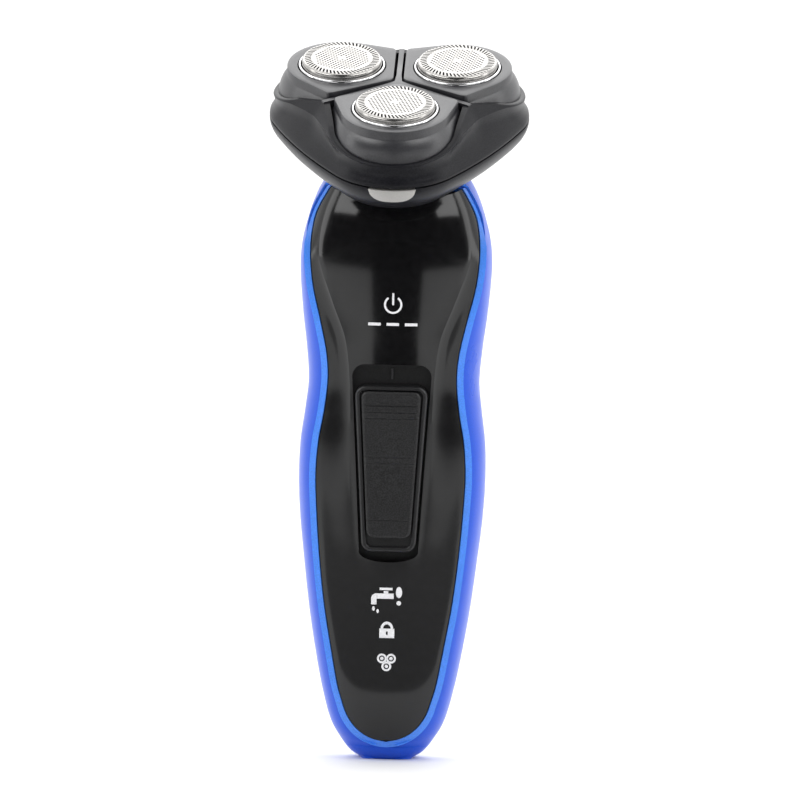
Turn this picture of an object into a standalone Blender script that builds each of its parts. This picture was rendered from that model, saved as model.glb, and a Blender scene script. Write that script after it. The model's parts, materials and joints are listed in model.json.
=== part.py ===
"""Rotary electric shaver with three floating cutters, modelled as separate parts.

The handle stands along +Z with its front facing -Y, and the origin is the middle of the
flat end face around the charging socket. The head leans forward: its parts are modelled
in head coordinates (u right, v to the rear, w up along the drive shaft) under the empty
"head_frame". Sizes are in millimetres, and MM turns them into metres.
"""

from math import acos, atan2, cos, degrees, pi, radians, sin

import bmesh
import bpy
from mathutils import Matrix, Vector

MM = 0.001
GAP = 0.3

# Head: place and lean of the cutting plane, and the ring of three cutters.
HEAD_CENTRE = Vector((0, -12, 164))
HEAD_LEAN = radians(21)
CUTTER_CIRCLE = 16.0
CUTTER_ANGLES = (radians(270), radians(30), radians(150))

# Head outline at the seam: corners about each cutter, joined by slightly convex sides.
CORNER_RADIUS = 17.3
SIDE_REACH = 26.3
SEAM_W = -13.0
WALL = 1.6

# Pods, the floating plates around the cutters.
POD_ARC = 14.7
POD_TIP = 19.0
POD_GROOVE = 0.9
POD_BOTTOM = -8.0
POD_AXIS_W = -5.0
POD_HOLE = 10.7
POD_LEDGE = 8.8

# Cutters.
RING_RADIUS = 10.4
CAP_RADIUS = 9.6
CAP_TOP = 1.8
CAP_BOTTOM = -3.6
FOIL = 0.35
BLADE_TOP = 1.1

# Gear train.
MODULE = 0.8
SUN_TEETH = 15
PLANET_TEETH = 25
GEAR_LOW = -20.6
GEAR_HIGH = -18.4
PLATE_LOW = -17.9
PLATE_HIGH = -16.7
SPINDLE_TOP = -5.4
SPINDLE_RADIUS = 1.6

# Cover hinge at the rear edge of the head.
HINGE_V = 26.6
HINGE_W = -13.15
BARREL = 1.5
PIN_RADIUS = 0.7
KNUCKLE = 3.3
HINGE_HALF = 6.2

# Release button, in the middle of the front corner.
BUTTON_HALF = 5.8
BUTTON_BACK = -29.4
BUTTON_W = -15.0

# Retaining frame and its knob.
FRAME_LOW, FRAME_HIGH = -12.8, -11.4
KNOB_RADIUS = 3.9
KNOB_STEM = 2.0

# Neck and motor, on the shaft's axis.
BODY_TOP_W = -26.0
NECK_RADIUS = 10.2
BASE_BOTTOM_W = -23.2
COLLAR_RADIUS = 8.4
COLLAR_HOLE = 5.0
MOTOR_TOP_W = -29.0
MOTOR_LENGTH = 20.0
MOTOR_RADIUS = 8.5
ROTOR_RADIUS = 5.8

# Handle.
SHELL = 1.8
PANEL_FRONT = 15.0
PANEL_BOTTOM = 4.7

# Switch, in the flat stretch of the front panel: (half width at the top, half width at
# the bottom, low end, high end, corner radius) of each tapered outline.
WINDOW_TAPER = (9.5, 7.1, 48.4, 95.9, 3.0)
TRACK_TAPER = (10.6, 8.2, 47.2, 97.1, 3.5)
SLIDE_TAPER = (8.7, 6.6, 50.9, 90.9, 2.6)
SEAT_TAPER = (7.5, 5.5, 54.1, 89.8, 2.0)
PAD_TAPER = (7.2, 5.2, 54.4, 89.5, 1.8)
SWITCH_Z = 71.0
LEVER_Z = 68.3

# Distances in front of the handle's middle plane for the layers behind the panel.
SLIDE_FRONT, SLIDE_BACK = -15.9, -12.0
PAD_FRONT, PAD_BACK = -16.5, -15.0
TRACK_FRONT, TRACK_BACK = -11.7, -10.7
BOARD_FRONT, BOARD_BACK = -8.2, -7.0
CHASSIS_FRONT, CHASSIS_BACK = -6.7, -5.6

# Inside the handle.
SCREW_HEIGHTS = (18.9, 103.0)
CELL_RADIUS = 7.0
CELL_LOW, CELL_HIGH = 28.0, 78.0
CELL_Y = 2.4
LED_HEIGHTS = (23.3, 31.0, 38.3)

# Charging socket in the end face.
SOCKET = (3.9, 2.4)
SOCKET_BODY = (5.6, 4.2)
SOCKET_DEPTH = 10.0
PIN_X = 2.1
PIN_BORE = 1.0
INLET_PIN = 0.7


def remove_startup_objects():
    for obj in list(bpy.data.objects):
        bpy.data.objects.remove(obj, do_unlink=True)


def material(name, colour, roughness, metallic=0.0):
    look = bpy.data.materials.new(name)
    look.use_nodes = True
    shader = look.node_tree.nodes["Principled BSDF"]
    shader.inputs["Base Color"].default_value = (*colour, 1)
    shader.inputs["Roughness"].default_value = roughness
    shader.inputs["Metallic"].default_value = metallic
    return look


def empty(name, location=(0, 0, 0), rotation=(0, 0, 0), parent=None):
    frame = bpy.data.objects.new(name, None)
    bpy.context.collection.objects.link(frame)
    frame.location = Vector(location) * MM
    frame.rotation_euler = rotation
    frame.parent = parent
    return frame


def piece(name, shape, look, parent=None, origin=(0, 0, 0), rotation=(0, 0, 0)):
    """An object from a bmesh in millimetres, with its origin moved to the given point."""
    bmesh.ops.translate(shape, verts=shape.verts, vec=-Vector(origin))
    bmesh.ops.scale(shape, verts=shape.verts, vec=(MM, MM, MM))
    bmesh.ops.recalc_face_normals(shape, faces=shape.faces)
    mesh = bpy.data.meshes.new(name)
    shape.to_mesh(mesh)
    shape.free()
    mesh.shade_smooth()
    mesh.set_sharp_from_angle(angle=radians(35))
    if look:
        mesh.materials.append(look)
    obj = bpy.data.objects.new(name, mesh)
    bpy.context.collection.objects.link(obj)
    obj.parent = parent
    obj.location = Vector(origin) * MM
    obj.rotation_euler = rotation
    return obj


def combine(target, tool, operation="DIFFERENCE"):
    modifier = target.modifiers.new(tool.name, "BOOLEAN")
    modifier.operation = operation
    modifier.object = tool
    tool.hide_render = True
    tool.display_type = "WIRE"


def loft(rings):
    """A closed solid through rings of points, one ring to the next, with flat ends."""
    shape = bmesh.new()
    rows = [[shape.verts.new(point) for point in ring] for ring in rings]
    for lower, upper in zip(rows, rows[1:]):
        for i, corner in enumerate(lower):
            j = (i + 1) % len(lower)
            shape.faces.new((corner, lower[j], upper[j], upper[i]))
    shape.faces.new(rows[0])
    shape.faces.new(rows[-1])
    return shape


def turned(profile, steps=28):
    """A solid of revolution about Z from (radius, height) points; radius 0 is the axis."""
    shape = bmesh.new()
    rows = []
    for radius, height in profile:
        turns = steps if radius else 1
        angles = [2 * pi * i / steps for i in range(turns)]
        rows.append([shape.verts.new((radius * cos(a), radius * sin(a), height)) for a in angles])
    for row, following in zip(rows, rows[1:] + rows[:1]):
        for i in range(steps):
            j = (i + 1) % steps
            ring = (row[i % len(row)], row[j % len(row)])
            ring += (following[j % len(following)], following[i % len(following)])
            corners = list(dict.fromkeys(ring))
            if len(corners) > 2:
                shape.faces.new(corners)
    return shape


def rod(radius, low, high, steps=24):
    return turned([(0, low), (radius, low), (radius, high), (0, high)], steps)


def tube(outer, inner, low, high, steps=28):
    return turned([(inner, low), (outer, low), (outer, high), (inner, high)], steps)


def prism(outline, low, high):
    """A flat outline of (x, y) points pushed through from one height to another."""
    return loft([[(x, y, height) for x, y in outline] for height in (low, high)])


def box(low, high):
    (x0, y0, z0), (x1, y1, z1) = low, high
    return prism([(x0, y0), (x1, y0), (x1, y1), (x0, y1)], z0, z1)


def moved(shape, matrix):
    bmesh.ops.transform(shape, matrix=matrix, verts=shape.verts)
    return shape


def along_y(shape):
    """Turns a shape made along Z so that it runs to the rear along Y, with its Y up."""
    return moved(shape, Matrix(((1, 0, 0, 0), (0, 0, 1, 0), (0, 1, 0, 0), (0, 0, 0, 1))))


def along_x(shape):
    return moved(shape, Matrix.Rotation(radians(90), 4, "Y"))


def arc(centre, radius, start, end, count):
    """Points along an arc from one angle to another, both included."""
    angles = [start + (end - start) * i / (count - 1) for i in range(count)]
    return [(centre[0] + radius * cos(a), centre[1] + radius * sin(a)) for a in angles]


def rounded_box(half_x, half_y, radius, count=4):
    corners = []
    signs = ((1, 1), (-1, 1), (-1, -1), (1, -1))
    for turn, (sign_x, sign_y) in enumerate(signs):
        centre = (sign_x * (half_x - radius), sign_y * (half_y - radius))
        corners += arc(centre, radius, turn * pi / 2, (turn + 1) * pi / 2, count)
    return corners


def coil(name, radius, wire, length, turns, look, parent, location, rotation=(0, 0, 0)):
    """A helical spring along its own Z, with closed wire ends."""
    curve = bpy.data.curves.new(name, "CURVE")
    curve.dimensions = "3D"
    curve.bevel_depth = wire * MM
    curve.bevel_resolution = 0
    curve.use_fill_caps = True
    count = turns * 8
    spline = curve.splines.new("POLY")
    spline.points.add(count)
    for i, point in enumerate(spline.points):
        angle = 2 * pi * turns * i / count
        place = Vector((radius * cos(angle), radius * sin(angle), length * i / count)) * MM
        point.co = (*place, 1)
    curve.materials.append(look)
    spring = bpy.data.objects.new(name, curve)
    bpy.context.collection.objects.link(spring)
    spring.parent = parent
    spring.location = Vector(location) * MM
    spring.rotation_euler = rotation
    return spring


# --- Handle -----------------------------------------------------------------------------

# Rows of (height, centre y, lean in degrees, half width, depth in front, depth behind).
HANDLE_ROWS = (
    (0.0, 0, 0, 6.0, 4.6, 4.8),
    (1.6, 0, 0, 8.6, 6.6, 7.0),
    (4.2, 0, 0, 10.8, 8.4, 9.0),
    (8.5, 0, 0, 13.4, 10.2, 11.0),
    (15.0, 0, 0, 15.4, 11.8, 12.6),
    (24.0, 0, 0, 17.3, 13.2, 13.8),
    (36.0, 0, 0, 19.3, 14.5, 14.8),
    (48.0, 0, 0, 20.8, PANEL_FRONT, 15.4),
    (58.0, 0, 0, 21.9, PANEL_FRONT, 15.6),
    (67.0, 0, 0, 22.4, PANEL_FRONT, 15.6),
    (76.0, 0, 0, 22.2, PANEL_FRONT, 15.2),
    (84.0, 0, 0, 21.2, PANEL_FRONT, 14.9),
    (91.0, 0, 0, 20.5, PANEL_FRONT, 14.9),
    (99.0, 0, 0, 21.1, 15.1, 15.4),
    (108.0, 0, 0, 22.2, 15.5, 16.6),
    (119.0, 0, 4, 23.0, 15.8, 17.4),
    (125.0, -0.5, 9, 22.5, 15.4, 17.2),
    (130.5, -1.2, 14, 21.1, 14.8, 16.4),
    (135.5, -2.0, 18, 19.3, 13.6, 14.8),
)
HANDLE_TOP = (17.0, 11.9, 12.8)
FRONT_BULGE = 2.6
REAR_BULGE = 2.3
SECTION_POINTS = 36
CAVITY_POINTS = 24

# Half widths of the black front panel at each height, from its tip to its top.
PANEL_ROWS = (
    (6.7, 6.6),
    (9.6, 8.9),
    (13.0, 10.3),
    (18.0, 11.8),
    (27.0, 13.5),
    (38.0, 15.4),
    (50.0, 16.8),
    (60.0, 17.6),
    (69.0, 18.0),
    (77.0, 17.5),
    (84.0, 16.3),
    (91.7, 15.5),
    (98.0, 15.9),
    (106.0, 17.6),
    (114.0, 19.5),
    (121.0, 20.3),
    (127.0, 20.1),
    (132.0, 19.0),
    (150.0, 14.0),
)


def shaft_point(w):
    """A point on the drive axis, w along the head's own up direction."""
    return HEAD_CENTRE + Vector((0, -sin(HEAD_LEAN), cos(HEAD_LEAN))) * w


def handle_section(height, centre_y, lean, half_width, front, rear, count):
    """One oval cross-section: fuller in front, rounder behind, leaning forward."""
    points = []
    tilt = Matrix.Rotation(radians(lean), 3, "X")
    for i in range(count):
        angle = 2 * pi * i / count
        power = 2 / (FRONT_BULGE if sin(angle) < 0 else REAR_BULGE)
        depth = front if sin(angle) < 0 else rear
        x = half_width * abs(cos(angle)) ** power * (1 if cos(angle) >= 0 else -1)
        y = depth * abs(sin(angle)) ** power * (1 if sin(angle) >= 0 else -1)
        points.append(tilt @ Vector((x, y, 0)) + Vector((0, centre_y, height)))
    return points


def handle_solid(inset=0.0):
    """The handle's outer form, or the same form drawn in by inset on every side."""
    top = shaft_point(BODY_TOP_W - inset)
    rows = [row for row in HANDLE_ROWS if row[0] >= 1.2 * inset]
    rows.append((top.z, top.y, degrees(HEAD_LEAN), *HANDLE_TOP))
    count = CAVITY_POINTS if inset else SECTION_POINTS
    sizes = [[size - inset for size in row[3:]] for row in rows]
    return loft([handle_section(*row[:3], *size, count) for row, size in zip(rows, sizes)])


def panel_outline(grow):
    """(x, z) outline of the front panel, grown or drawn in by grow."""
    right = [(half + grow, z) for z, half in PANEL_ROWS]
    tip = (0, PANEL_BOTTOM - grow)
    shoulder = (3.6 + grow, PANEL_BOTTOM + 0.5 - grow)
    left = [(-x, z) for x, z in reversed([shoulder] + right)]
    return [tip, shoulder] + right + left


def taper_outline(half_high, half_low, low, high, radius):
    """(x, z) outline of a tapered plate with rounded corners, wide end up."""
    slope = atan2(half_high - half_low, high - low)
    top = arc((half_high - radius, high - radius), radius, -slope, pi / 2, 5)
    bottom = arc((half_low - radius, low + radius), radius, -pi / 2, -slope, 5)
    right = bottom + top
    return right + [(-x, z) for x, z in reversed(right)]


def build_handle(looks, head):
    depth = 2 * PANEL_FRONT
    rear_housing = piece("rear_housing", handle_solid(), looks["blue"])
    cavity = piece("handle_cavity", handle_solid(SHELL), None)
    panel_opening = along_y(prism(panel_outline(0.15), -depth, -2))
    opening = piece("panel_opening", panel_opening, None)
    neck_bore = rod(NECK_RADIUS + GAP, BODY_TOP_W - 8, BODY_TOP_W + 8)
    bore = piece("neck_bore", neck_bore, None, head)
    socket_hole = prism(rounded_box(SOCKET_BODY[0] + GAP, SOCKET_BODY[1] + GAP, 2.2), -2, 8)
    socket_cut = piece("socket_hole", socket_hole, None)
    for tool in (cavity, opening, bore, socket_cut):
        combine(rear_housing, tool)

    front_panel = piece("front_panel", handle_solid(), looks["gloss_black"])
    panel_limit = along_y(prism(panel_outline(-0.15), -depth, -2.3))
    limit = piece("panel_limit", panel_limit, None)
    combine(front_panel, limit, "INTERSECT")
    combine(front_panel, cavity)
    combine(front_panel, bore)
    window = along_y(prism(taper_outline(*WINDOW_TAPER), -depth, -6))
    combine(front_panel, piece("switch_window", window, None))


def build_switch(looks):
    track = along_y(prism(taper_outline(*TRACK_TAPER), TRACK_FRONT, TRACK_BACK))
    plate = piece("switch_track", track, looks["matte_black"])
    slot = box((-1.6, TRACK_FRONT - 2, SWITCH_Z - 5.4), (1.6, TRACK_BACK + 1, SWITCH_Z + 4.6))
    combine(plate, piece("track_slot", slot, None))

    slide = along_y(prism(taper_outline(*SLIDE_TAPER), SLIDE_FRONT, SLIDE_BACK))
    frame = piece("slide_switch", slide, looks["matte_black"], origin=(0, -13, SWITCH_Z))
    seat = along_y(prism(taper_outline(*SEAT_TAPER), SLIDE_FRONT - 2, PAD_BACK + GAP))
    combine(frame, piece("pad_seat", seat, None))
    pad = along_y(prism(taper_outline(*PAD_TAPER), PAD_FRONT, PAD_BACK))
    piece("grip_pad", pad, looks["rubber"], origin=(0, PAD_BACK, SWITCH_Z))

    lever = box((-1.2, TRACK_FRONT, LEVER_Z - 2), (1.2, TRACK_BACK + GAP, LEVER_Z + 2))
    piece("switch_actuator", lever, looks["matte_black"], origin=(0, TRACK_FRONT, LEVER_Z))
    case = box((-3.2, -10.1, LEVER_Z - 5), (3.2, BOARD_FRONT - GAP, LEVER_Z + 8))
    piece("micro_switch", case, looks["matte_black"])


def at_height(shape, height):
    return moved(shape, Matrix.Translation((0, 0, height)))


def build_electronics(looks):
    board = box((-9.5, BOARD_FRONT, 22), (9.5, BOARD_BACK, 100))
    piece("circuit_board", board, looks["board"])
    plate = box((-10.5, CHASSIS_FRONT, 16), (10.5, CHASSIS_BACK, 106))
    chassis = piece("inner_chassis", plate, looks["plastic"])
    for name, low in (("lower_stop", CELL_LOW - 4), ("upper_stop", CELL_HIGH + 4)):
        stop = box((-8.5, CHASSIS_BACK - 0.4, low), (8.5, 8.0, low + 1.6))
        combine(chassis, piece(name, stop, None), "UNION")
    screw_profile = [
        (0, CHASSIS_BACK - 0.2),
        (1.0, CHASSIS_BACK - 0.2),
        (1.0, BOARD_BACK),
        (2.1, BOARD_BACK),
        (2.1, BOARD_BACK - 1.4),
        (0, BOARD_BACK - 1.6),
    ]
    for number, height in enumerate(SCREW_HEIGHTS, 1):
        hole = at_height(along_y(rod(1.3, -9, -4, 12)), height)
        combine(chassis, piece(f"board_hole_{number}", hole, None))
        screw = at_height(along_y(turned(screw_profile, 14)), height)
        piece(f"chassis_screw_{number}", screw, looks["steel"])
    cell_profile = [
        (0, CELL_LOW),
        (CELL_RADIUS - 0.4, CELL_LOW),
        (CELL_RADIUS, CELL_LOW + 0.6),
        (CELL_RADIUS, CELL_HIGH - 0.6),
        (CELL_RADIUS - 0.4, CELL_HIGH),
        (0, CELL_HIGH),
    ]
    cell = moved(turned(cell_profile), Matrix.Translation((0, CELL_Y, 0)))
    piece("battery_cell", cell, looks["cell"])
    for name, low in (("battery_tab_bottom", CELL_LOW - 1.8), ("battery_tab_top", CELL_HIGH + 0.4)):
        tab = box((-3, CELL_Y - 4, low), (3, CELL_Y + 4, low + 0.8))
        piece(name, tab, looks["steel"])
    guide = box((-3.4, -10.7, LED_HEIGHTS[0] - 1.3), (3.4, -9.9, LED_HEIGHTS[-1] + 2.7))
    piece("light_guide", guide, looks["lens"])
    for number, height in enumerate(LED_HEIGHTS, 1):
        led = box((-0.9, -9.6, height - 0.6), (0.9, BOARD_FRONT - GAP, height + 0.6))
        piece(f"status_led_{number}", led, looks["lens"])


def build_socket(looks):
    body = prism(rounded_box(*SOCKET_BODY, 2.0), 0, SOCKET_DEPTH + 2)
    inlet = piece("charging_inlet", body, looks["matte_black"])
    recess = prism(rounded_box(*SOCKET, 1.2), -1, SOCKET_DEPTH)
    combine(inlet, piece("socket_recess", recess, None))
    for side, x in (("left", -PIN_X), ("right", PIN_X)):
        place = Matrix.Translation((x, 0, 0))
        bore = moved(rod(PIN_BORE, SOCKET_DEPTH - 1, SOCKET_DEPTH + 3, 14), place)
        combine(inlet, piece(f"pin_bore_{side}", bore, None))
        pin = moved(rod(INLET_PIN, SOCKET_DEPTH - 4.6, SOCKET_DEPTH + 4, 14), place)
        piece(f"inlet_pin_{side}", pin, looks["brass"])


def build_motor(looks, head):
    """The motor, its coupling, seal and collar, on the drive axis below the head."""
    bottom = MOTOR_TOP_W - MOTOR_LENGTH
    bell = ROTOR_RADIUS + 0.6
    can = [
        (0, bottom),
        (MOTOR_RADIUS, bottom),
        (MOTOR_RADIUS, MOTOR_TOP_W - 0.8),
        (MOTOR_RADIUS - 0.8, MOTOR_TOP_W),
        (1.4, MOTOR_TOP_W),
        (1.4, MOTOR_TOP_W - 2),
        (bell, MOTOR_TOP_W - 2),
        (bell, bottom + 2),
        (0, bottom + 2),
    ]
    piece("motor_can", turned(can), looks["steel"], head)
    cap = rod(MOTOR_RADIUS - 0.6, bottom - 2.2, bottom - GAP)
    piece("motor_end_cap", cap, looks["plastic"], head)
    rotor = [
        (0, bottom + 2.6),
        (ROTOR_RADIUS, bottom + 2.6),
        (ROTOR_RADIUS, MOTOR_TOP_W - 2.8),
        (1.0, MOTOR_TOP_W - 2.8),
        (1.0, GEAR_HIGH - 0.6),
        (0, GEAR_HIGH - 0.6),
    ]
    piece("motor_rotor", turned(rotor, 20), looks["steel"], head)
    coupling = tube(3.0, 1.3, MOTOR_TOP_W + 1.4, GEAR_LOW - 0.5, 20)
    piece("drive_coupling", coupling, looks["plastic"], head)
    seal = tube(4.7, 3.3, BASE_BOTTOM_W - 1.7, BASE_BOTTOM_W - 0.5, 24)
    piece("shaft_seal", seal, looks["rubber"], head)
    collar = [
        (COLLAR_RADIUS, MOTOR_TOP_W + 0.7),
        (NECK_RADIUS, MOTOR_TOP_W + 0.7),
        (NECK_RADIUS, BASE_BOTTOM_W - GAP),
        (COLLAR_HOLE, BASE_BOTTOM_W - GAP),
        (COLLAR_HOLE, BASE_BOTTOM_W - 1.8),
        (COLLAR_RADIUS, BASE_BOTTOM_W - 1.8),
    ]
    piece("neck_collar", turned(collar), looks["matte_black"], head)


# --- Head -------------------------------------------------------------------------------


def side_circle():
    """Radius of the side arcs that meet the corner arcs smoothly, and where they meet."""
    inner = CUTTER_CIRCLE / 2 - SIDE_REACH
    across = CUTTER_CIRCLE * sin(radians(60))
    rise = CORNER_RADIUS**2 - inner**2 - across**2
    radius = rise / (2 * (inner + CORNER_RADIUS))
    meet = atan2(across, radius + inner)
    return radius, meet


def polar(radius, angle):
    return (radius * cos(angle), radius * sin(angle))


def head_outline(grow=0.0):
    """(u, v) outline of the head at its seam, grown or drawn in by grow."""
    radius, meet = side_circle()
    turn = radians(60) - meet
    points = []
    for corner in sorted(CUTTER_ANGLES):
        centre = polar(CUTTER_CIRCLE, corner)
        points += arc(centre, CORNER_RADIUS + grow, corner - turn, corner + turn, 10)
        middle = corner + radians(60)
        back = polar(SIDE_REACH - radius, middle)
        side = arc(back, radius + grow, middle - meet, middle + meet, 8)
        points += side[1:-1]
    return points


def lip_outline(arc_radius, tip):
    """(u, v, share) points of the cover's top edge: share is 1 at a tip, 0 at a corner."""
    points = []
    for corner in sorted(CUTTER_ANGLES):
        centre = polar(CUTTER_CIRCLE, corner)
        tip_point = Vector((tip / 2 - CUTTER_CIRCLE, tip * sin(radians(60))))
        spread = atan2(tip_point.y, tip_point.x) - acos(arc_radius / tip_point.length)
        for i, point in enumerate(arc(centre, arc_radius, corner - spread, corner + spread, 10)):
            away = abs(2 * i / 9 - 1)
            points.append((*point, 0.62 * away**2.2))
        last = points[-1]
        end = polar(tip, corner + radians(60))
        following = corner + radians(120)
        next_centre = polar(CUTTER_CIRCLE, following)
        start = arc(next_centre, arc_radius, following - spread, following, 2)[0]
        for share in (0.34, 0.67, 0.95):
            points.append((*Vector(last[:2]).lerp(Vector(end), share), 0.62 + 0.38 * share))
        for share in (0.95, 0.67, 0.34):
            points.append((*Vector(start).lerp(Vector(end), share), 0.62 + 0.38 * share))
    return points


def pod_outline(arc_radius, tip, groove, corner=2.0):
    """(a, b) outline of a pod about its cutter: a points away from the head's middle."""
    half = radians(60)
    inner = (-CUTTER_CIRCLE + (groove + corner) / sin(half), 0)
    along = Vector((cos(half), sin(half)))
    tip_point = Vector((-CUTTER_CIRCLE, 0)) + along * tip + Vector((along.y, -along.x)) * groove
    spread = atan2(tip_point.y, tip_point.x) - acos(arc_radius / tip_point.length)
    points = arc(inner, corner, pi + radians(30), pi - radians(30), 4)
    points.append(tuple(tip_point))
    points += arc((0, 0), arc_radius, spread, -spread, 14)
    points.append((tip_point.x, -tip_point.y))
    return points


def gear_outline(teeth, phase):
    """A spur gear outline with straight-sided teeth and enough play to turn freely."""
    pitch_radius = MODULE * teeth / 2
    step = 2 * pi / teeth
    root, tip = pitch_radius - 1.1 * MODULE, pitch_radius + 0.7 * MODULE
    points = []
    for tooth in range(teeth):
        for side, radius in ((-0.27, root), (-0.12, tip), (0.12, tip), (0.27, root)):
            points.append(polar(radius, phase + (tooth + side) * step))
    return points


def hinge_rod(radius, low, high, steps):
    """A rod on the cover's hinge axis, from one u to another."""
    shape = along_x(rod(radius, low, high, steps))
    return moved(shape, Matrix.Translation((0, HINGE_V, HINGE_W)))


def build_base(looks, head):
    """The lower half of the head with its gear bay, hinge barrels and button slot."""
    rows = ((BASE_BOTTOM_W, -10.0), (-22.4, -6.2), (-21.2, -3.9), (-19.0, -2.2), (-16.0, -0.7))
    rings = [[(*point, w) for point in head_outline(grow)] for w, grow in rows]
    rings.append([(*point, SEAM_W - GAP) for point in head_outline()])
    base = piece("head_base", loft(rings), looks["dark_grey"], head)
    inner_rows = ((-21.3, -5.6), (-19.0, -2.2 - WALL), (-16.0, -0.7 - WALL), (-12.0, -WALL))
    bay_rings = [[(*point, w) for point in head_outline(grow)] for w, grow in inner_rows]
    combine(base, piece("gear_bay", loft(bay_rings), None, head))
    combine(base, piece("shaft_hole", rod(3.4, -26, -20, 24), None, head))
    slot = box((-6.1, -36, -16.95), (6.1, -28.6, -12))
    combine(base, piece("button_slot", slot, None, head))
    for side in (-1, 1):
        low, high = sorted((side * KNUCKLE, side * HINGE_HALF))
        barrel = hinge_rod(BARREL, low, high, 16)
        combine(base, piece(f"base_barrel_{side}", barrel, None, head), "UNION")
    notch = box((-KNUCKLE, HINGE_V - 1.9, HINGE_W - 1.9), (KNUCKLE, HINGE_V + 4, -12))
    combine(base, piece("hinge_notch", notch, None, head))
    bore = piece("hinge_bore", hinge_rod(PIN_RADIUS + 0.2, -8, 8, 12), None, head)
    combine(base, bore)
    piece("hinge_pin", hinge_rod(PIN_RADIUS, -6, 6, 12), looks["steel"], head)
    return bore


def build_gears(looks, head):
    plate = prism(head_outline(-4.3), PLATE_LOW, PLATE_HIGH)
    plate = piece("gear_plate", plate, looks["plastic"], head)
    stop = box((-2.5, -25.9, PLATE_HIGH - 0.5), (2.5, -24.9, SEAM_W - 0.9))
    combine(plate, piece("spring_stop", stop, None, head), "UNION")
    sun = prism(gear_outline(SUN_TEETH, radians(30)), GEAR_LOW, GEAR_HIGH)
    sun = piece("sun_gear", sun, looks["gear"], head)
    combine(sun, piece("sun_bore", rod(1.3, GEAR_LOW - 2, GEAR_HIGH + 2, 14), None, head))
    screw_profile = [
        (0, GEAR_LOW - 0.2),
        (1.0, GEAR_LOW - 0.2),
        (1.0, PLATE_HIGH + GAP),
        (2.0, PLATE_HIGH + GAP),
        (2.0, PLATE_HIGH + 1.4),
        (0, PLATE_HIGH + 1.6),
    ]
    spindle_profile = [
        (0, GEAR_LOW + 0.2),
        (SPINDLE_RADIUS, GEAR_LOW + 0.2),
        (SPINDLE_RADIUS, SPINDLE_TOP - 1.0),
        (SPINDLE_RADIUS - 0.5, SPINDLE_TOP),
        (0, SPINDLE_TOP),
    ]
    for number, angle in enumerate(CUTTER_ANGLES, 1):
        x, y = polar(CUTTER_CIRCLE, angle)
        axis = Matrix.Translation((x, y, 0))
        hole = moved(rod(SPINDLE_RADIUS + 1.1, PLATE_LOW - 1, PLATE_HIGH + 1, 20), axis)
        combine(plate, piece(f"spindle_hole_{number}", hole, None, head))
        tooth_phase = angle + pi + pi / PLANET_TEETH
        planet = moved(prism(gear_outline(PLANET_TEETH, tooth_phase), GEAR_LOW, GEAR_HIGH), axis)
        origin = (x, y, GEAR_LOW)
        planet = piece(f"planet_gear_{number}", planet, looks["gear"], head, origin)
        bore = moved(rod(SPINDLE_RADIUS + GAP, GEAR_LOW - 2, GEAR_HIGH + 2, 14), axis)
        combine(planet, piece(f"planet_bore_{number}", bore, None, head))
        spindle = moved(turned(spindle_profile, 6), axis)
        piece(f"drive_spindle_{number}", spindle, looks["plastic"], head, origin)
        place = (x, y, PLATE_HIGH + 0.6)
        coil(f"spindle_spring_{number}", 2.5, 0.25, 3.6, 3, looks["steel"], head, place)
        axis = Matrix.Translation((*polar(14.0, angle + radians(60)), 0))
        hole = moved(rod(1.3, PLATE_LOW - 1, PLATE_HIGH + 1, 12), axis)
        combine(plate, piece(f"plate_hole_{number}", hole, None, head))
        screw = moved(turned(screw_profile, 14), axis)
        piece(f"gear_plate_screw_{number}", screw, looks["steel"], head)


def build_button(looks, head):
    angle = CUTTER_ANGLES[0]
    spread = atan2(BUTTON_HALF, CORNER_RADIUS)
    centre = polar(CUTTER_CIRCLE, angle)
    front = arc(centre, CORNER_RADIUS + 0.1, angle - spread, angle + spread, 9)
    outline = front + [(BUTTON_HALF, BUTTON_BACK), (-BUTTON_HALF, BUTTON_BACK)]
    button = prism(outline, -16.6, SEAM_W - 0.6)
    origin = (0, BUTTON_BACK, BUTTON_W)
    piece("release_button", button, looks["silver"], head, origin)
    place = (0, BUTTON_BACK + 3, BUTTON_W)
    turn = (radians(90), 0, 0)
    coil("button_spring", 1.0, 0.22, 2.6, 3, looks["steel"], head, place, turn)


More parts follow.
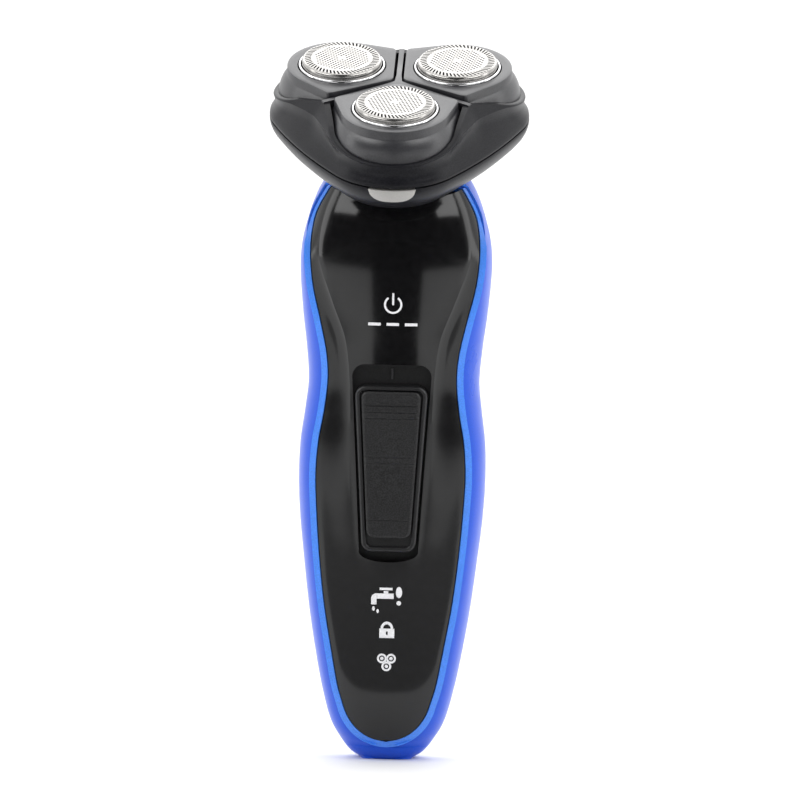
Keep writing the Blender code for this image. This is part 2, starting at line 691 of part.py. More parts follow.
def build_cover(looks, head, bore):
    """The upper shell: outer skin to the wavy lip, pod pockets, deck and chamber."""
    lip = lip_outline(15.9, 20.2)
    rings = [
        [(*point, SEAM_W) for point in head_outline()],
        [(*point, SEAM_W + 2.2) for point in head_outline(-0.5)],
        [(u, v, -7.6 + 6.4 * share) for u, v, share in lip],
    ]
    shape = bmesh.new()
    rows = [[shape.verts.new(point) for point in ring] for ring in rings]
    for lower, upper in zip(rows, rows[1:]):
        for i, corner in enumerate(lower):
            j = (i + 1) % len(lower)
            shape.faces.new((corner, lower[j], upper[j], upper[i]))
    shape.faces.new(rows[0])
    middle = shape.verts.new((0, 0, -2.6))
    for i, corner in enumerate(rows[-1]):
        shape.faces.new((corner, rows[-1][(i + 1) % len(rows[-1])], middle))
    cover = piece("head_cover", shape, looks["dark_grey"], head, (0, HINGE_V, HINGE_W))
    chamber_rings = [
        [(*point, w) for point in head_outline(grow)]
        for w, grow in ((SEAM_W - 1, -WALL), (-11.0, -WALL - 0.9))
    ]
    combine(cover, piece("upper_chamber", loft(chamber_rings), None, head))
    for number, angle in enumerate(CUTTER_ANGLES, 1):
        place = Matrix.Translation((*polar(CUTTER_CIRCLE, angle), 0))
        place = place @ Matrix.Rotation(angle, 4, "Z")
        outline = pod_outline(POD_ARC + 0.4, POD_TIP + 0.5, POD_GROOVE - 0.4)
        pocket = moved(prism(outline, POD_BOTTOM - 1.4, 6), place)
        combine(cover, piece(f"pod_pocket_{number}", pocket, None, head))
        well = moved(rod(POD_LEDGE + 0.2, -14, -5), place)
        combine(cover, piece(f"cutter_well_{number}", well, None, head))
    for side in (-1, 1):
        low, high = sorted((side * (KNUCKLE - GAP), side * (HINGE_HALF + 0.4)))
        relief = box((low, HINGE_V - 1.9, -16), (high, HINGE_V + 4, HINGE_W + 1.9))
        combine(cover, piece(f"barrel_relief_{side}", relief, None, head))
    barrel = hinge_rod(BARREL, GAP + 0.1 - KNUCKLE, KNUCKLE - GAP - 0.1, 16)
    combine(cover, piece("cover_barrel", barrel, None, head), "UNION")
    combine(cover, bore)


def build_retainer(looks, head):
    """The frame that holds the cutters in from below, and its quarter-turn knob."""
    frame = prism(head_outline(-4.2), FRAME_LOW, FRAME_HIGH)
    frame = piece("retaining_frame", frame, looks["plastic"], head)
    for number, angle in enumerate(CUTTER_ANGLES, 1):
        hole = moved(rod(8.2, -14, -10), Matrix.Translation((*polar(CUTTER_CIRCLE, angle), 0)))
        combine(frame, piece(f"frame_hole_{number}", hole, None, head))
    combine(frame, piece("knob_hole", rod(KNOB_STEM + GAP, -14, -10, 16), None, head))
    profile = [
        (0, FRAME_LOW - 2.5),
        (KNOB_RADIUS - 0.3, FRAME_LOW - 2.5),
        (KNOB_RADIUS, FRAME_LOW - 2.2),
        (KNOB_RADIUS, FRAME_LOW - 0.5),
        (KNOB_STEM, FRAME_LOW - 0.3),
        (KNOB_STEM, FRAME_HIGH + 0.1),
        (0, FRAME_HIGH + 0.1),
    ]
    knob = piece("retaining_knob", turned(profile, 20), looks["blue"], head, (0, 0, -13))
    for side in (-1, 1):
        low, high = sorted((side * 0.7, side * 5.0))
        recess = box((low, -5, FRAME_LOW - 4), (high, 5, FRAME_LOW - 1.4))
        combine(knob, piece(f"knob_recess_{side}", recess, None, head))


def build_cutters(looks, head):
    top = pod_outline(POD_ARC - 1.5, POD_TIP - 1.0, POD_GROOVE + 0.6)
    skirt = pod_outline(POD_ARC, POD_TIP, POD_GROOVE)
    for number, angle in enumerate(CUTTER_ANGLES, 1):
        x, y = polar(CUTTER_CIRCLE, angle)
        seat = empty(f"cutter_axis_{number}", (x, y, 0), (0, 0, angle), head)
        rings = [[(a, b, w) for a, b in skirt] for w in (POD_BOTTOM, -2.4)]
        rings.append([(a, b, -0.1) for a, b in top])
        pod = piece(f"shaving_pod_{number}", loft(rings), looks["grey"], seat, (0, 0, POD_AXIS_W))
        combine(pod, piece(f"cap_bore_{number}", rod(POD_HOLE, -5.6, 3, 32), None, seat))
        combine(pod, piece(f"ledge_bore_{number}", rod(POD_LEDGE, -10, 0, 32), None, seat))
        ring = [
            (CAP_RADIUS + GAP, -3.4),
            (RING_RADIUS, -3.4),
            (RING_RADIUS, 0.3),
            (RING_RADIUS - 0.2, 0.5),
            (CAP_RADIUS + GAP, 0.5),
        ]
        piece(f"chrome_ring_{number}", turned(ring, 28), looks["chrome"], seat)
        cap = [
            (CAP_RADIUS - 0.9, CAP_BOTTOM),
            (CAP_RADIUS, CAP_BOTTOM),
            (CAP_RADIUS, CAP_TOP - 0.4),
            (CAP_RADIUS - 0.4, CAP_TOP),
            (0, CAP_TOP),
            (0, CAP_TOP - FOIL),
            (CAP_RADIUS - 0.9, CAP_TOP - FOIL),
        ]
        piece(f"cutter_cap_{number}", turned(cap, 28), looks["foil"], seat)
        cutter = [
            (2.6, -7.4),
            (3.4, -7.4),
            (3.4, -2.6),
            (7.9, -2.6),
            (7.9, -1.8),
            (0, -1.8),
            (0, -2.9),
            (2.6, -2.9),
        ]
        blade_ring = piece(f"inner_cutter_{number}", turned(cutter, 24), looks["steel"], seat)
        blades = piece(f"blade_ring_{number}", tube(7.9, 5.6, -2.2, BLADE_TOP, 24), None, seat)
        combine(blade_ring, blades, "UNION")


def main():
    remove_startup_objects()
    looks = {
        "blue": material("blue_gloss_plastic", (0.03, 0.12, 0.78), 0.25),
        "gloss_black": material("gloss_black_plastic", (0.008, 0.008, 0.01), 0.1),
        "matte_black": material("matte_black_plastic", (0.015, 0.015, 0.018), 0.55),
        "rubber": material("black_rubber", (0.02, 0.02, 0.022), 0.7),
        "dark_grey": material("dark_satin_plastic", (0.04, 0.04, 0.045), 0.4),
        "grey": material("grey_satin_plastic", (0.16, 0.16, 0.17), 0.4),
        "silver": material("silver_paint", (0.45, 0.45, 0.42), 0.35, 0.5),
        "chrome": material("chrome", (0.8, 0.8, 0.82), 0.08, 1.0),
        "foil": material("foil_steel", (0.7, 0.69, 0.68), 0.22, 1.0),
        "steel": material("bare_steel", (0.5, 0.5, 0.52), 0.3, 1.0),
        "brass": material("brass", (0.6, 0.45, 0.2), 0.3, 1.0),
        "plastic": material("white_plastic", (0.5, 0.5, 0.48), 0.5),
        "gear": material("gear_plastic", (0.75, 0.73, 0.66), 0.45),
        "board": material("board_green", (0.02, 0.16, 0.06), 0.5),
        "cell": material("cell_sleeve", (0.05, 0.25, 0.4), 0.4),
        "lens": material("clear_lens", (0.8, 0.82, 0.85), 0.2),
    }
    head = empty("head_frame", HEAD_CENTRE, (HEAD_LEAN, 0, 0))
    build_handle(looks, head)
    build_switch(looks)
    build_electronics(looks)
    build_socket(looks)
    build_motor(looks, head)
    bore = build_base(looks, head)
    build_gears(looks, head)
    build_button(looks, head)
    build_cover(looks, head, bore)
    build_retainer(looks, head)
    build_cutters(looks, head)


main()
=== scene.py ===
"""Rotary electric shaver: the finished look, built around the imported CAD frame.

Sizes are in millimetres, and MM turns them into metres. The head leans forward, so its
pieces are laid out in head coordinates (u right, v to the rear, w up the drive shaft).
"""

import json
from math import acos, atan2, ceil, cos, pi, radians, sin

import bpy
from bpy.props import FloatProperty, FloatVectorProperty, PointerProperty
from mathutils import Matrix, Vector


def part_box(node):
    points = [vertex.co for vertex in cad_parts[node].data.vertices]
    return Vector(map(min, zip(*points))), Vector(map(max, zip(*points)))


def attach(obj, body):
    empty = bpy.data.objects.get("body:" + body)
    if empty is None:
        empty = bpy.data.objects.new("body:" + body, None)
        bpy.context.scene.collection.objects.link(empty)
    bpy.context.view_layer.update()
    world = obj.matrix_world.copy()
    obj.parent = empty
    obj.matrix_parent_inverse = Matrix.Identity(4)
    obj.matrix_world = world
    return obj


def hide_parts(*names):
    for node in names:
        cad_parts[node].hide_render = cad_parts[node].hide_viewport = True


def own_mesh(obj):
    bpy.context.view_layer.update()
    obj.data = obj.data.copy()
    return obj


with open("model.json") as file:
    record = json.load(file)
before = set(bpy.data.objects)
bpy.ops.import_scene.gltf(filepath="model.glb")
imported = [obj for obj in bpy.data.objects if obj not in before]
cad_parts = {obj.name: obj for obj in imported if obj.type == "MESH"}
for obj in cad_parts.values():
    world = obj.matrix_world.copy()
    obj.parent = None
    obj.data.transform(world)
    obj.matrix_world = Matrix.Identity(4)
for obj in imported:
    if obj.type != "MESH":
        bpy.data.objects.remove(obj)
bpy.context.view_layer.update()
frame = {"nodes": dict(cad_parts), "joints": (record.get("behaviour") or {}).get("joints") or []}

bl_info = {
    "name": "Rotary Shaver",
    "version": (1, 0, 0),
    "blender": (4, 5, 0),
    "location": "View3D > Sidebar > Shaver",
    "description": "Builds a three-head rotary shaver around its CAD frame",
    "category": "Mesh",
}

MM = 0.001
NODES = frame["nodes"]
JOINTS = {joint["name"]: joint for joint in frame["joints"]}

# The head frame: its up direction and middle come from the drive and cutter joints.
CUTTER_JOINT_W = -2.0
HEAD_UP = Vector(JOINTS["drive_spin"]["axis"])
CUTTER_SPOTS = [Vector(JOINTS[f"cutter_spin_{i}"]["pos_m"]) for i in (1, 2, 3)]
HEAD_MIDDLE = sum(CUTTER_SPOTS, Vector()) / 3 / MM - HEAD_UP * CUTTER_JOINT_W
HEAD_LEAN = atan2(-HEAD_UP.y, HEAD_UP.z)
HEAD = Matrix.Translation(HEAD_MIDDLE) @ Matrix.Rotation(HEAD_LEAN, 4, "X")
CUTTER_ANGLES = [
    atan2(spot.y, spot.x)
    for spot in (HEAD.inverted() @ (point / MM) for point in CUTTER_SPOTS)
]
CUTTER_CIRCLE = (CUTTER_SPOTS[0] / MM - HEAD_MIDDLE - HEAD_UP * CUTTER_JOINT_W).length

# Head outline at the seam.
CORNER_RADIUS = 17.3
SIDE_REACH = 26.3
SEAM_W = -13.0
BASE_FLOOR_W = -23.2
DECK_W = -9.4

# Pods, the plates around the cutters: outer arc, tip and half groove, at skirt and top.
POD_SKIRT = (15.2, 19.3, 0.9)
POD_TOP = (13.1, 18.05, 1.2)
POD_BORE = 10.6

# Handle rows: height, middle y, lean in degrees, half width, depth in front, depth behind.
HANDLE_ROWS = (
    (0.0, 0, 0, 6.0, 4.6, 4.8),
    (1.6, 0, 0, 8.6, 6.6, 7.0),
    (4.2, 0, 0, 10.8, 8.4, 9.0),
    (8.5, 0, 0, 13.4, 10.2, 11.0),
    (15.0, 0, 0, 15.4, 11.8, 12.6),
    (24.0, 0, 0, 17.3, 13.2, 13.8),
    (36.0, 0, 0, 19.3, 14.5, 14.8),
    (48.0, 0, 0, 20.8, 15.0, 15.4),
    (58.0, 0, 0, 21.9, 15.0, 15.6),
    (67.0, 0, 0, 22.4, 15.0, 15.6),
    (76.0, 0, 0, 22.2, 15.0, 15.2),
    (84.0, 0, 0, 21.2, 15.0, 14.9),
    (91.0, 0, 0, 20.5, 15.0, 14.9),
    (99.0, 0, 0, 21.1, 15.1, 15.4),
    (108.0, 0, 0, 22.2, 15.5, 16.6),
    (119.0, 0, 4, 23.0, 15.8, 17.4),
    (125.0, -0.5, 9, 22.5, 15.4, 17.2),
    (130.5, -1.2, 14, 21.1, 14.8, 16.4),
    (135.5, -2.0, 18, 19.3, 13.6, 14.8),
    (139.7, -2.7, 21, 17.0, 11.9, 12.8),
)
FRONT_BULGE = 2.6
REAR_BULGE = 2.3

# Front panel: height and half width above its rounded tip.
PANEL_ROWS = (
    (13.0, 10.3),
    (18.0, 11.8),
    (27.0, 13.5),
    (38.0, 15.4),
    (50.0, 16.8),
    (60.0, 17.6),
    (69.0, 18.0),
    (77.0, 17.5),
    (84.0, 16.3),
    (91.7, 15.5),
    (98.0, 15.9),
    (106.0, 17.6),
    (114.0, 19.5),
    (121.0, 20.3),
    (127.0, 20.1),
    (132.0, 19.0),
    (136.0, 17.2),
    (141.0, 14.5),
)
PANEL_TIP = 4.7
PANEL_ROUND_END = 13.0
ROUND_MIDDLE = 17.0
ROUND_HALF = 10.89

# Crease lines on the panel: height, distance from the middle, depth of the flute outside.
CREASE_ROWS = (
    (0.0, 2.0, 0.0),
    (14.0, 3.6, 0.0),
    (24.0, 4.8, 0.12),
    (35.0, 6.4, 0.3),
    (52.0, 8.0, 0.5),
    (72.0, 9.4, 0.75),
    (84.0, 9.8, 0.95),
    (93.0, 10.2, 1.0),
    (102.0, 11.4, 1.0),
    (110.0, 14.4, 0.8),
    (117.0, 17.0, 0.5),
    (124.0, 19.0, 0.1),
    (145.0, 19.0, 0.0),
)

# Switch: the window in the panel, the sliding frame and its pad.
WINDOW = (9.5, 7.1, 48.4, 95.9, 3.0)
SLIDE = (8.7, 6.6, 50.9, 90.9, 2.6)
PAD = (7.2, 5.2, 54.4, 89.5, 1.8)
PAD_GROOVES = (86.1, 84.4, 82.9, 73.7, 72.1, 58.5)
BOW = 2.6
SLIDE_FRONT = -15.9
PAD_FRONT = -16.4


# --- Small tools ------------------------------------------------------------------------


def smooth(table, x, column):
    """The value of a table's column at x, on a smooth curve through its rows."""
    last = len(table) - 1
    x = min(max(x, table[0][0]), table[last][0])
    i = 0
    while i < last - 1 and table[i + 1][0] < x:
        i += 1

    def slope(k):
        low, high = max(k - 1, 0), min(k + 1, last)
        return (table[high][column] - table[low][column]) / (table[high][0] - table[low][0])

    span = table[i + 1][0] - table[i][0]
    t = (x - table[i][0]) / span
    a, b = table[i][column], table[i + 1][column]
    return (
        a * (2 * t**3 - 3 * t**2 + 1)
        + b * (3 * t**2 - 2 * t**3)
        + slope(i) * span * (t**3 - 2 * t**2 + t)
        + slope(i + 1) * span * (t**3 - t**2)
    )


def polar(radius, angle):
    return (radius * cos(angle), radius * sin(angle))


def arc(centre, radius, start, end, count):
    angles = [start + (end - start) * i / (count - 1) for i in range(count)]
    return [(centre[0] + radius * cos(a), centre[1] + radius * sin(a)) for a in angles]


def spread(start, end, count):
    return [start + (end - start) * i / count for i in range(count + 1)]


def mix(a, b, share):
    return tuple(p + (q - p) * share for p, q in zip(a, b))


def between(first, second, share):
    return [mix(p, q, share) for p, q in zip(first, second)]


def at_height(outline, height):
    return [(*point, height) for point in outline]


def start_fresh():
    if bpy.context.mode != "OBJECT":
        bpy.ops.object.mode_set(mode="OBJECT")
    bpy.ops.object.select_all(action="DESELECT")


def pick(*objects):
    """Selects these objects and nothing else, and makes the first one active."""
    start_fresh()
    for obj in objects:
        obj.select_set(True)
    bpy.context.view_layer.objects.active = objects[0]


def join(objects):
    pick(*objects)
    bpy.ops.object.join()
    return objects[0]


def edit(obj, *steps):
    """Runs edit-mode operators on the whole of one object."""
    pick(obj)
    bpy.ops.object.mode_set(mode="EDIT")
    bpy.ops.mesh.select_all(action="SELECT")
    for step in steps:
        step()
    bpy.ops.object.mode_set(mode="OBJECT")


def apply_modifier(obj, kind, **settings):
    pick(obj)
    modifier = obj.modifiers.new(kind.title(), kind)
    for key, value in settings.items():
        setattr(modifier, key, value)
    bpy.ops.object.modifier_apply(modifier=modifier.name)


def skin(name, rows, look, place=None, sharp=35, outward=None, thickness=0.0, zone=None):
    """A grid with its rows of vertices set on rows of points (mm), sewn where they meet.

    A zone is a second look and the columns of faces that take it.
    """
    start_fresh()
    columns = len(rows[0])
    bpy.ops.mesh.primitive_grid_add(
        x_subdivisions=columns - 1, y_subdivisions=len(rows) - 1, size=MM
    )
    obj = bpy.context.object
    obj.name = obj.data.name = name
    place = place or Matrix.Identity(4)
    points = [place @ Vector(point) * MM for row in rows for point in row]
    for vertex, point in zip(obj.data.vertices, points):
        vertex.co = point
    if zone:
        obj.data.materials.append(look)
        obj.data.materials.append(zone[0])
        for number, face in enumerate(obj.data.polygons):
            face.material_index = int(number % (columns - 1) in zone[1])
    edit(
        obj,
        lambda: bpy.ops.mesh.remove_doubles(threshold=0.004 * MM),
        lambda: bpy.ops.mesh.normals_make_consistent(inside=False),
    )
    if outward is not None:
        face_outward(obj, Vector(outward))
    if thickness:
        apply_modifier(obj, "SOLIDIFY", thickness=thickness * MM, offset=-1.0)
    smooth_by_angle(obj, sharp)
    if not zone:
        paint(obj, look)
    return obj


def face_outward(obj, direction):
    """Turns an open sheet's faces so that on the whole they look along direction."""
    total = sum((face.normal * face.area for face in obj.data.polygons), Vector())
    if total.dot(direction) < 0:
        edit(obj, bpy.ops.mesh.flip_normals)


def smooth_by_angle(obj, sharp):
    pick(obj)
    bpy.ops.object.shade_smooth_by_angle(angle=radians(sharp))


def paint(obj, look):
    obj.data.materials.clear()
    obj.data.materials.append(look)


def cut(target, tool, operation="DIFFERENCE", **settings):
    """Cuts one finished mesh with another, or joins them, and throws the tool away."""
    apply_modifier(target, "BOOLEAN", operation=operation, object=tool, solver="EXACT", **settings)
    bpy.data.objects.remove(tool, do_unlink=True)


def turned(name, profile, look, place, sides=96, sharp=35):
    """A closed profile of (radius, height) points swept once round its axis."""
    angles = spread(0, 2 * pi, sides)
    rows = [[(r * cos(a), r * sin(a), h) for a in angles] for r, h in profile]
    closed = profile[0][0] > 0 or profile[-1][0] > 0
    return skin(name, rows + rows[:1] if closed else rows, look, place, sharp)


def prism(name, outline, low, high, look=None, place=None):
    """A flat outline pushed through from one height to another, with a centre in each end."""
    ring = list(outline) + [outline[0]]
    middle = tuple(sum(point[i] for point in outline) / len(outline) for i in (0, 1))
    ends = [middle] * len(ring)
    rows = [at_height(ends, low), at_height(ring, low), at_height(ring, high),
            at_height(ends, high)]
    return skin(name, rows, look or LOOKS["steel"], place)


def finish_piece(obj, body, slot, *replaced):
    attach(obj, body)
    if replaced:
        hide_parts(*replaced)


# Turns a flat (x, z) drawing, pushed along its third axis, to face the front of the handle.
FACING = Matrix(((1, 0, 0, 0), (0, 0, 1, 0), (0, 1, 0, 0), (0, 0, 0, 1)))


# --- Materials --------------------------------------------------------------------------

LOOKS = {}
BLOTCH_SCALE = 45.0
GRAIN_DEPTH = 0.05
SPECKLE_FROM, SPECKLE_TO = 0.36, 0.64
BRUSH_DEPTH = 0.02
BRUSH_STRENGTH = 0.1


def surface(name, colour, roughness, metallic=0.0, coat=0.0, grain=(900.0, 0.0), speckle=0.0,
            worn=0.06, specular=0.5):
    """A Principled surface with fine grain, uneven gloss and a slight change of colour."""
    look = bpy.data.materials.new(name)
    look.use_nodes = True
    nodes, links = look.node_tree.nodes, look.node_tree.links
    shader = nodes["Principled BSDF"]
    shader.inputs["Metallic"].default_value = metallic
    shader.inputs["Coat Weight"].default_value = coat
    shader.inputs["Specular IOR Level"].default_value = specular
    shader.inputs["Coat Roughness"].default_value = 0.05
    place = nodes.new("ShaderNodeTexCoord").outputs["Object"]

    def noise(scale, detail):
        node = nodes.new("ShaderNodeTexNoise")
        node.inputs["Scale"].default_value = scale
        node.inputs["Detail"].default_value = detail
        links.new(place, node.inputs["Vector"])
        return node.outputs["Fac"]

    blotch = noise(BLOTCH_SCALE, 4.0)
    fine = noise(grain[0], 2.0)
    ramp = nodes.new("ShaderNodeValToRGB")
    dark = [value * (1 - speckle) for value in colour]
    light = [min(value * (1 + speckle) + 0.02 * speckle, 1.0) for value in colour]
    ramp.color_ramp.elements[0].position = SPECKLE_FROM
    ramp.color_ramp.elements[1].position = SPECKLE_TO
    ramp.color_ramp.elements[0].color = (*dark, 1)
    ramp.color_ramp.elements[1].color = (*light, 1)
    links.new(fine, ramp.inputs["Fac"])
    links.new(ramp.outputs["Color"], shader.inputs["Base Color"])
    gloss = nodes.new("ShaderNodeMapRange")
    gloss.inputs["To Min"].default_value = max(roughness - worn, 0.02)
    gloss.inputs["To Max"].default_value = min(roughness + worn, 1.0)
    links.new(blotch, gloss.inputs["Value"])
    links.new(gloss.outputs["Result"], shader.inputs["Roughness"])
    bump = nodes.new("ShaderNodeBump")
    bump.inputs["Strength"].default_value = grain[1]
    bump.inputs["Distance"].default_value = GRAIN_DEPTH * MM
    links.new(fine, bump.inputs["Height"])
    links.new(bump.outputs["Normal"], shader.inputs["Normal"])
    return look


def brushed(name, colour, roughness, axis_scale=(60.0, 60.0, 4000.0)):
    """Metal with fine lines, drawn by a noise that is stretched across one direction."""
    look = surface(name, colour, roughness, metallic=1.0, grain=(1500.0, 0.0), speckle=0.03)
    nodes, links = look.node_tree.nodes, look.node_tree.links
    mapping = nodes.new("ShaderNodeMapping")
    mapping.inputs["Scale"].default_value = axis_scale
    coordinates = next(node for node in nodes if node.type == "TEX_COORD")
    lines = nodes.new("ShaderNodeTexNoise")
    lines.inputs["Scale"].default_value = 1.0
    bump = next(node for node in nodes if node.type == "BUMP")
    bump.inputs["Strength"].default_value = BRUSH_STRENGTH
    bump.inputs["Distance"].default_value = BRUSH_DEPTH * MM
    links.new(coordinates.outputs["Object"], mapping.inputs["Vector"])
    links.new(mapping.outputs["Vector"], lines.inputs["Vector"])
    links.new(lines.outputs["Fac"], bump.inputs["Height"])
    return look


def make_looks(settings):
    LOOKS.update(
        blue=surface("blue_gloss_plastic", settings.blue, 0.28, speckle=0.04,
                     grain=(2600.0, 0.02), worn=0.02, specular=0.28),
        strip=surface("blue_strip_plastic", settings.strip, 0.3, coat=0.1, speckle=0.12,
                      grain=(4200.0, 0.12)),
        panel=surface("gloss_black_plastic", settings.panel, 0.12, speckle=0.1,
                      grain=(700.0, 0.004), worn=0.03),
        slide=surface("satin_black_plastic", (0.009, 0.009, 0.01), 0.38, speckle=0.2,
                      grain=(3600.0, 0.25)),
        pad=surface("grained_black_rubber", (0.007, 0.007, 0.008), 0.5, speckle=0.5,
                    grain=(3000.0, 0.9)),
        dark=surface("dark_spark_plastic", settings.head, 0.34, speckle=0.25,
                     grain=(3800.0, 0.35), specular=0.22),
        pod=surface("grey_spark_plastic", settings.pod, 0.34, speckle=0.22,
                    grain=(3800.0, 0.35), specular=0.9),
        silver=surface("silver_paint", (0.5, 0.49, 0.47), 0.34, metallic=0.5, speckle=0.03,
                       grain=(3000.0, 0.03)),
        chrome=surface("polished_chrome", (0.82, 0.82, 0.83), 0.07, metallic=1.0, worn=0.03),
        foil=brushed("satin_guard_steel", (0.41, 0.4, 0.385), 0.22),
        steel=brushed("bright_steel", (0.6, 0.6, 0.62), 0.28, (3000.0, 60.0, 60.0)),
        # Painted shade: this dark look stands for the shade under the guard caps, on the inner
        # cutters and on the cut walls of the caps' slots and holes.
        blade=surface("oiled_blade_steel", (0.03, 0.03, 0.033), 0.5),
        brass=surface("plated_brass", (0.72, 0.55, 0.25), 0.25, metallic=1.0, speckle=0.05),
        natural=surface("natural_plastic", (0.55, 0.54, 0.5), 0.45, speckle=0.06,
                        grain=(2500.0, 0.15)),
        gear=surface("natural_acetal", (0.78, 0.76, 0.68), 0.38, speckle=0.04,
                     grain=(2500.0, 0.1)),
        board=surface("board_lacquer", (0.015, 0.14, 0.05), 0.35, coat=0.4, speckle=0.4,
                      grain=(1200.0, 0.3)),
        sleeve=surface("cell_sleeve", (0.04, 0.2, 0.35), 0.3, coat=0.3, speckle=0.08),
        lens=surface("frosted_lens", (0.75, 0.78, 0.82), 0.3, speckle=0.03,
                     grain=(2000.0, 0.1)),
        socket=surface("moulded_black_plastic", (0.007, 0.007, 0.008), 0.5, speckle=0.2,
                       grain=(2800.0, 0.3)),
        ink=surface("white_ink", (0.86, 0.86, 0.88), 0.5, speckle=0.04, grain=(3500.0, 0.2)),
    )


# --- Handle surfaces --------------------------------------------------------------------


def panel_half(z, grow=0.0):
    """Half width of the panel's outline at a height, for the outline grown by grow."""
    tip = PANEL_TIP - grow
    if z <= tip:
        return 0.0
    if z < PANEL_ROUND_END:
        down = (ROUND_MIDDLE - z) / (ROUND_MIDDLE - tip)
        return (ROUND_HALF + grow) * (1 - down**2) ** 0.5
    return smooth(PANEL_ROWS, z, 1) + grow


class Section:
    """One oval cross-section of the handle, which leans forward near the top."""

    def __init__(self, z):
        self.z = z
        row = [smooth(HANDLE_ROWS, z, column) for column in range(1, 6)]
        self.middle, self.lean, self.half, self.front, self.rear = row
        self.lean = radians(self.lean)
        self.front_z = z - self.front * sin(self.lean)
        self.edge_z = z - 0.5 * self.front * sin(self.lean)

    def opening(self, grow=0.0):
        """Half width of the panel's opening here, always inside the housing's sides."""
        return min(panel_half(self.edge_z, grow), self.half - LEAST_SIDE + grow)

    def depth(self, x):
        """How far in front of the middle the surface lies at x."""
        share = min(abs(x) / self.half, 1.0)
        return self.front * (1 - share**FRONT_BULGE) ** (1 / FRONT_BULGE)

    def point(self, x, y):
        reach = y * cos(self.lean)
        return Vector((x, self.middle + reach, self.z + y * sin(self.lean)))


def panel_columns(section, half):
    """(x, y) of the panel's surface across one section, with a column on each crease."""
    z = section.front_z
    crease = min(smooth(CREASE_ROWS, z, 1), 0.9 * half)
    flute = max(smooth(CREASE_ROWS, z, 2), 0.0)
    steps = spread(0, 1, 14)
    xs = [crease * step for step in steps] + [crease + (half - crease) * s for s in steps[1:]]
    found = []
    for x in xs:
        out = max(x - crease, 0.0) / max(half - crease, 0.01)
        dish = flute * sin(pi * min(out, 1.0) ** 0.8 * 0.86)
        found.append((x, dish - section.depth(x)))
    return [(-x, y) for x, y in reversed(found[1:])] + found


def levels(tip):
    """Heights for the rows of a surface that ends in a rounded tip, close together there."""
    rounded = [tip + (PANEL_ROUND_END - tip) * (i / 16) ** 2 for i in range(17)]
    return rounded + spread(PANEL_ROUND_END, HANDLE_ROWS[-1][0], 100)[1:]


def neck_ring(point, radius, w):
    """The point on a circle about the drive axis that lies nearest in direction to a point."""
    local = HEAD.inverted() @ point
    flat = Vector((local.x, local.y, 0)).normalized() * radius
    return HEAD @ Vector((flat.x, flat.y, w))


NECK_RADIUS = 10.6
TOP_W = -26.0


def top_rows(row):
    """Rows that round a surface over at the top of the handle and in to the neck."""
    edge = [mix(point, neck_ring(point, NECK_RADIUS, TOP_W), 0.05) for point in row]
    lifted = [Vector(point) + HEAD_UP * 0.35 for point in edge]
    inner = [neck_ring(Vector(point), NECK_RADIUS, TOP_W + 0.35) for point in row]
    return [lifted, [mix(a, b, 0.5) for a, b in zip(lifted, inner)], inner]


def build_panel():
    rows = []
    for z in levels(PANEL_TIP + 0.2):
        section = Section(z)
        half = max(section.opening() - 0.2, 0.0)
        rows.append([section.point(x, y) for x, y in panel_columns(section, half)])
    rows += top_rows(rows[-1])
    panel = skin("front_panel_gloss", rows, LOOKS["panel"], outward=(0, -1, 0), thickness=1.5,
                 sharp=28)
    window = prism("window_tool", window_outline(), -30, -6, place=FACING)
    cut(panel, window)
    smooth_by_angle(panel, 28)
    paint(panel, LOOKS["panel"])
    finish_piece(panel, "handle", "gloss_black", "front_panel")


STRIP_WIDTH = 1.55
STRIP_DROP = 0.45
LEAST_SIDE = 1.0
INLET_OPENING = (5.75, 4.35, 2.1)
END_SQUARE = 4.5


def housing_row(z):
    """Points round the housing from one edge of the panel opening, by the back, to the other.

    The bright strip lies between the opening and the arris. Its lip shrinks with open_share
    to nothing where the opening ends, near the foot.
    """
    section = Section(z)
    half = section.opening()
    arris = min(panel_half(section.edge_z, STRIP_WIDTH), half + 0.75 * (section.half - half))
    edge = section.depth(half)
    drop = STRIP_DROP * min(arris / 4, 1.0)
    corner = -edge + drop
    open_share = min(half, 1)
    side = [(half, 1.6 * open_share - edge), (half, 0.12 * open_share - edge)]
    side.append((half + 0.1 * open_share, -edge))
    side.append(((half + arris) / 2, (corner - edge) / 2 - 0.05 * open_share))
    side.append((arris, corner))
    start = radians(32) * min(arris / 5, 1.0)
    for t in spread(start, pi / 2, 14)[1:]:
        x = section.half - (section.half - arris) * (1 - sin(t)) / (1 - sin(start))
        side.append((x, corner * cos(t) / cos(start)))
    square = REAR_BULGE + (END_SQUARE - REAR_BULGE) * max(1 - z / 6, 0.0)
    for t in spread(0, pi / 2, 22)[1:]:
        x = section.half * max(cos(t), 0.0) ** (2 / square)
        side.append((x, section.rear * sin(t) ** (2 / square)))
    outline = side + [(-x, y) for x, y in reversed(side[:-1])]
    return [section.point(x, y) for x, y in outline]


def rounded_box(half_x, half_y, radius):
    """(x, y) outline of a box with rounded corners, from its front round by the left."""
    points = [(0.0, -half_y)]
    for x, y, start in ((1, -1, -90), (1, 1, 0), (-1, 1, 90), (-1, -1, 180)):
        centre = (x * (half_x - radius), y * (half_y - radius))
        points += arc(centre, radius, radians(start), radians(start + 90), 6)
    return points + points[:1]


def nearest_on(outline, point):
    """The point of an outline that lies in nearly the same direction as a point."""
    angle = atan2(point[1], point[0])
    return min(outline, key=lambda p: abs((atan2(p[1], p[0]) - angle + pi) % (2 * pi) - pi))


INLET_RIM = (6.1, 4.75)
RIM_POWER = 4.5
RIM_FADE = 2.4


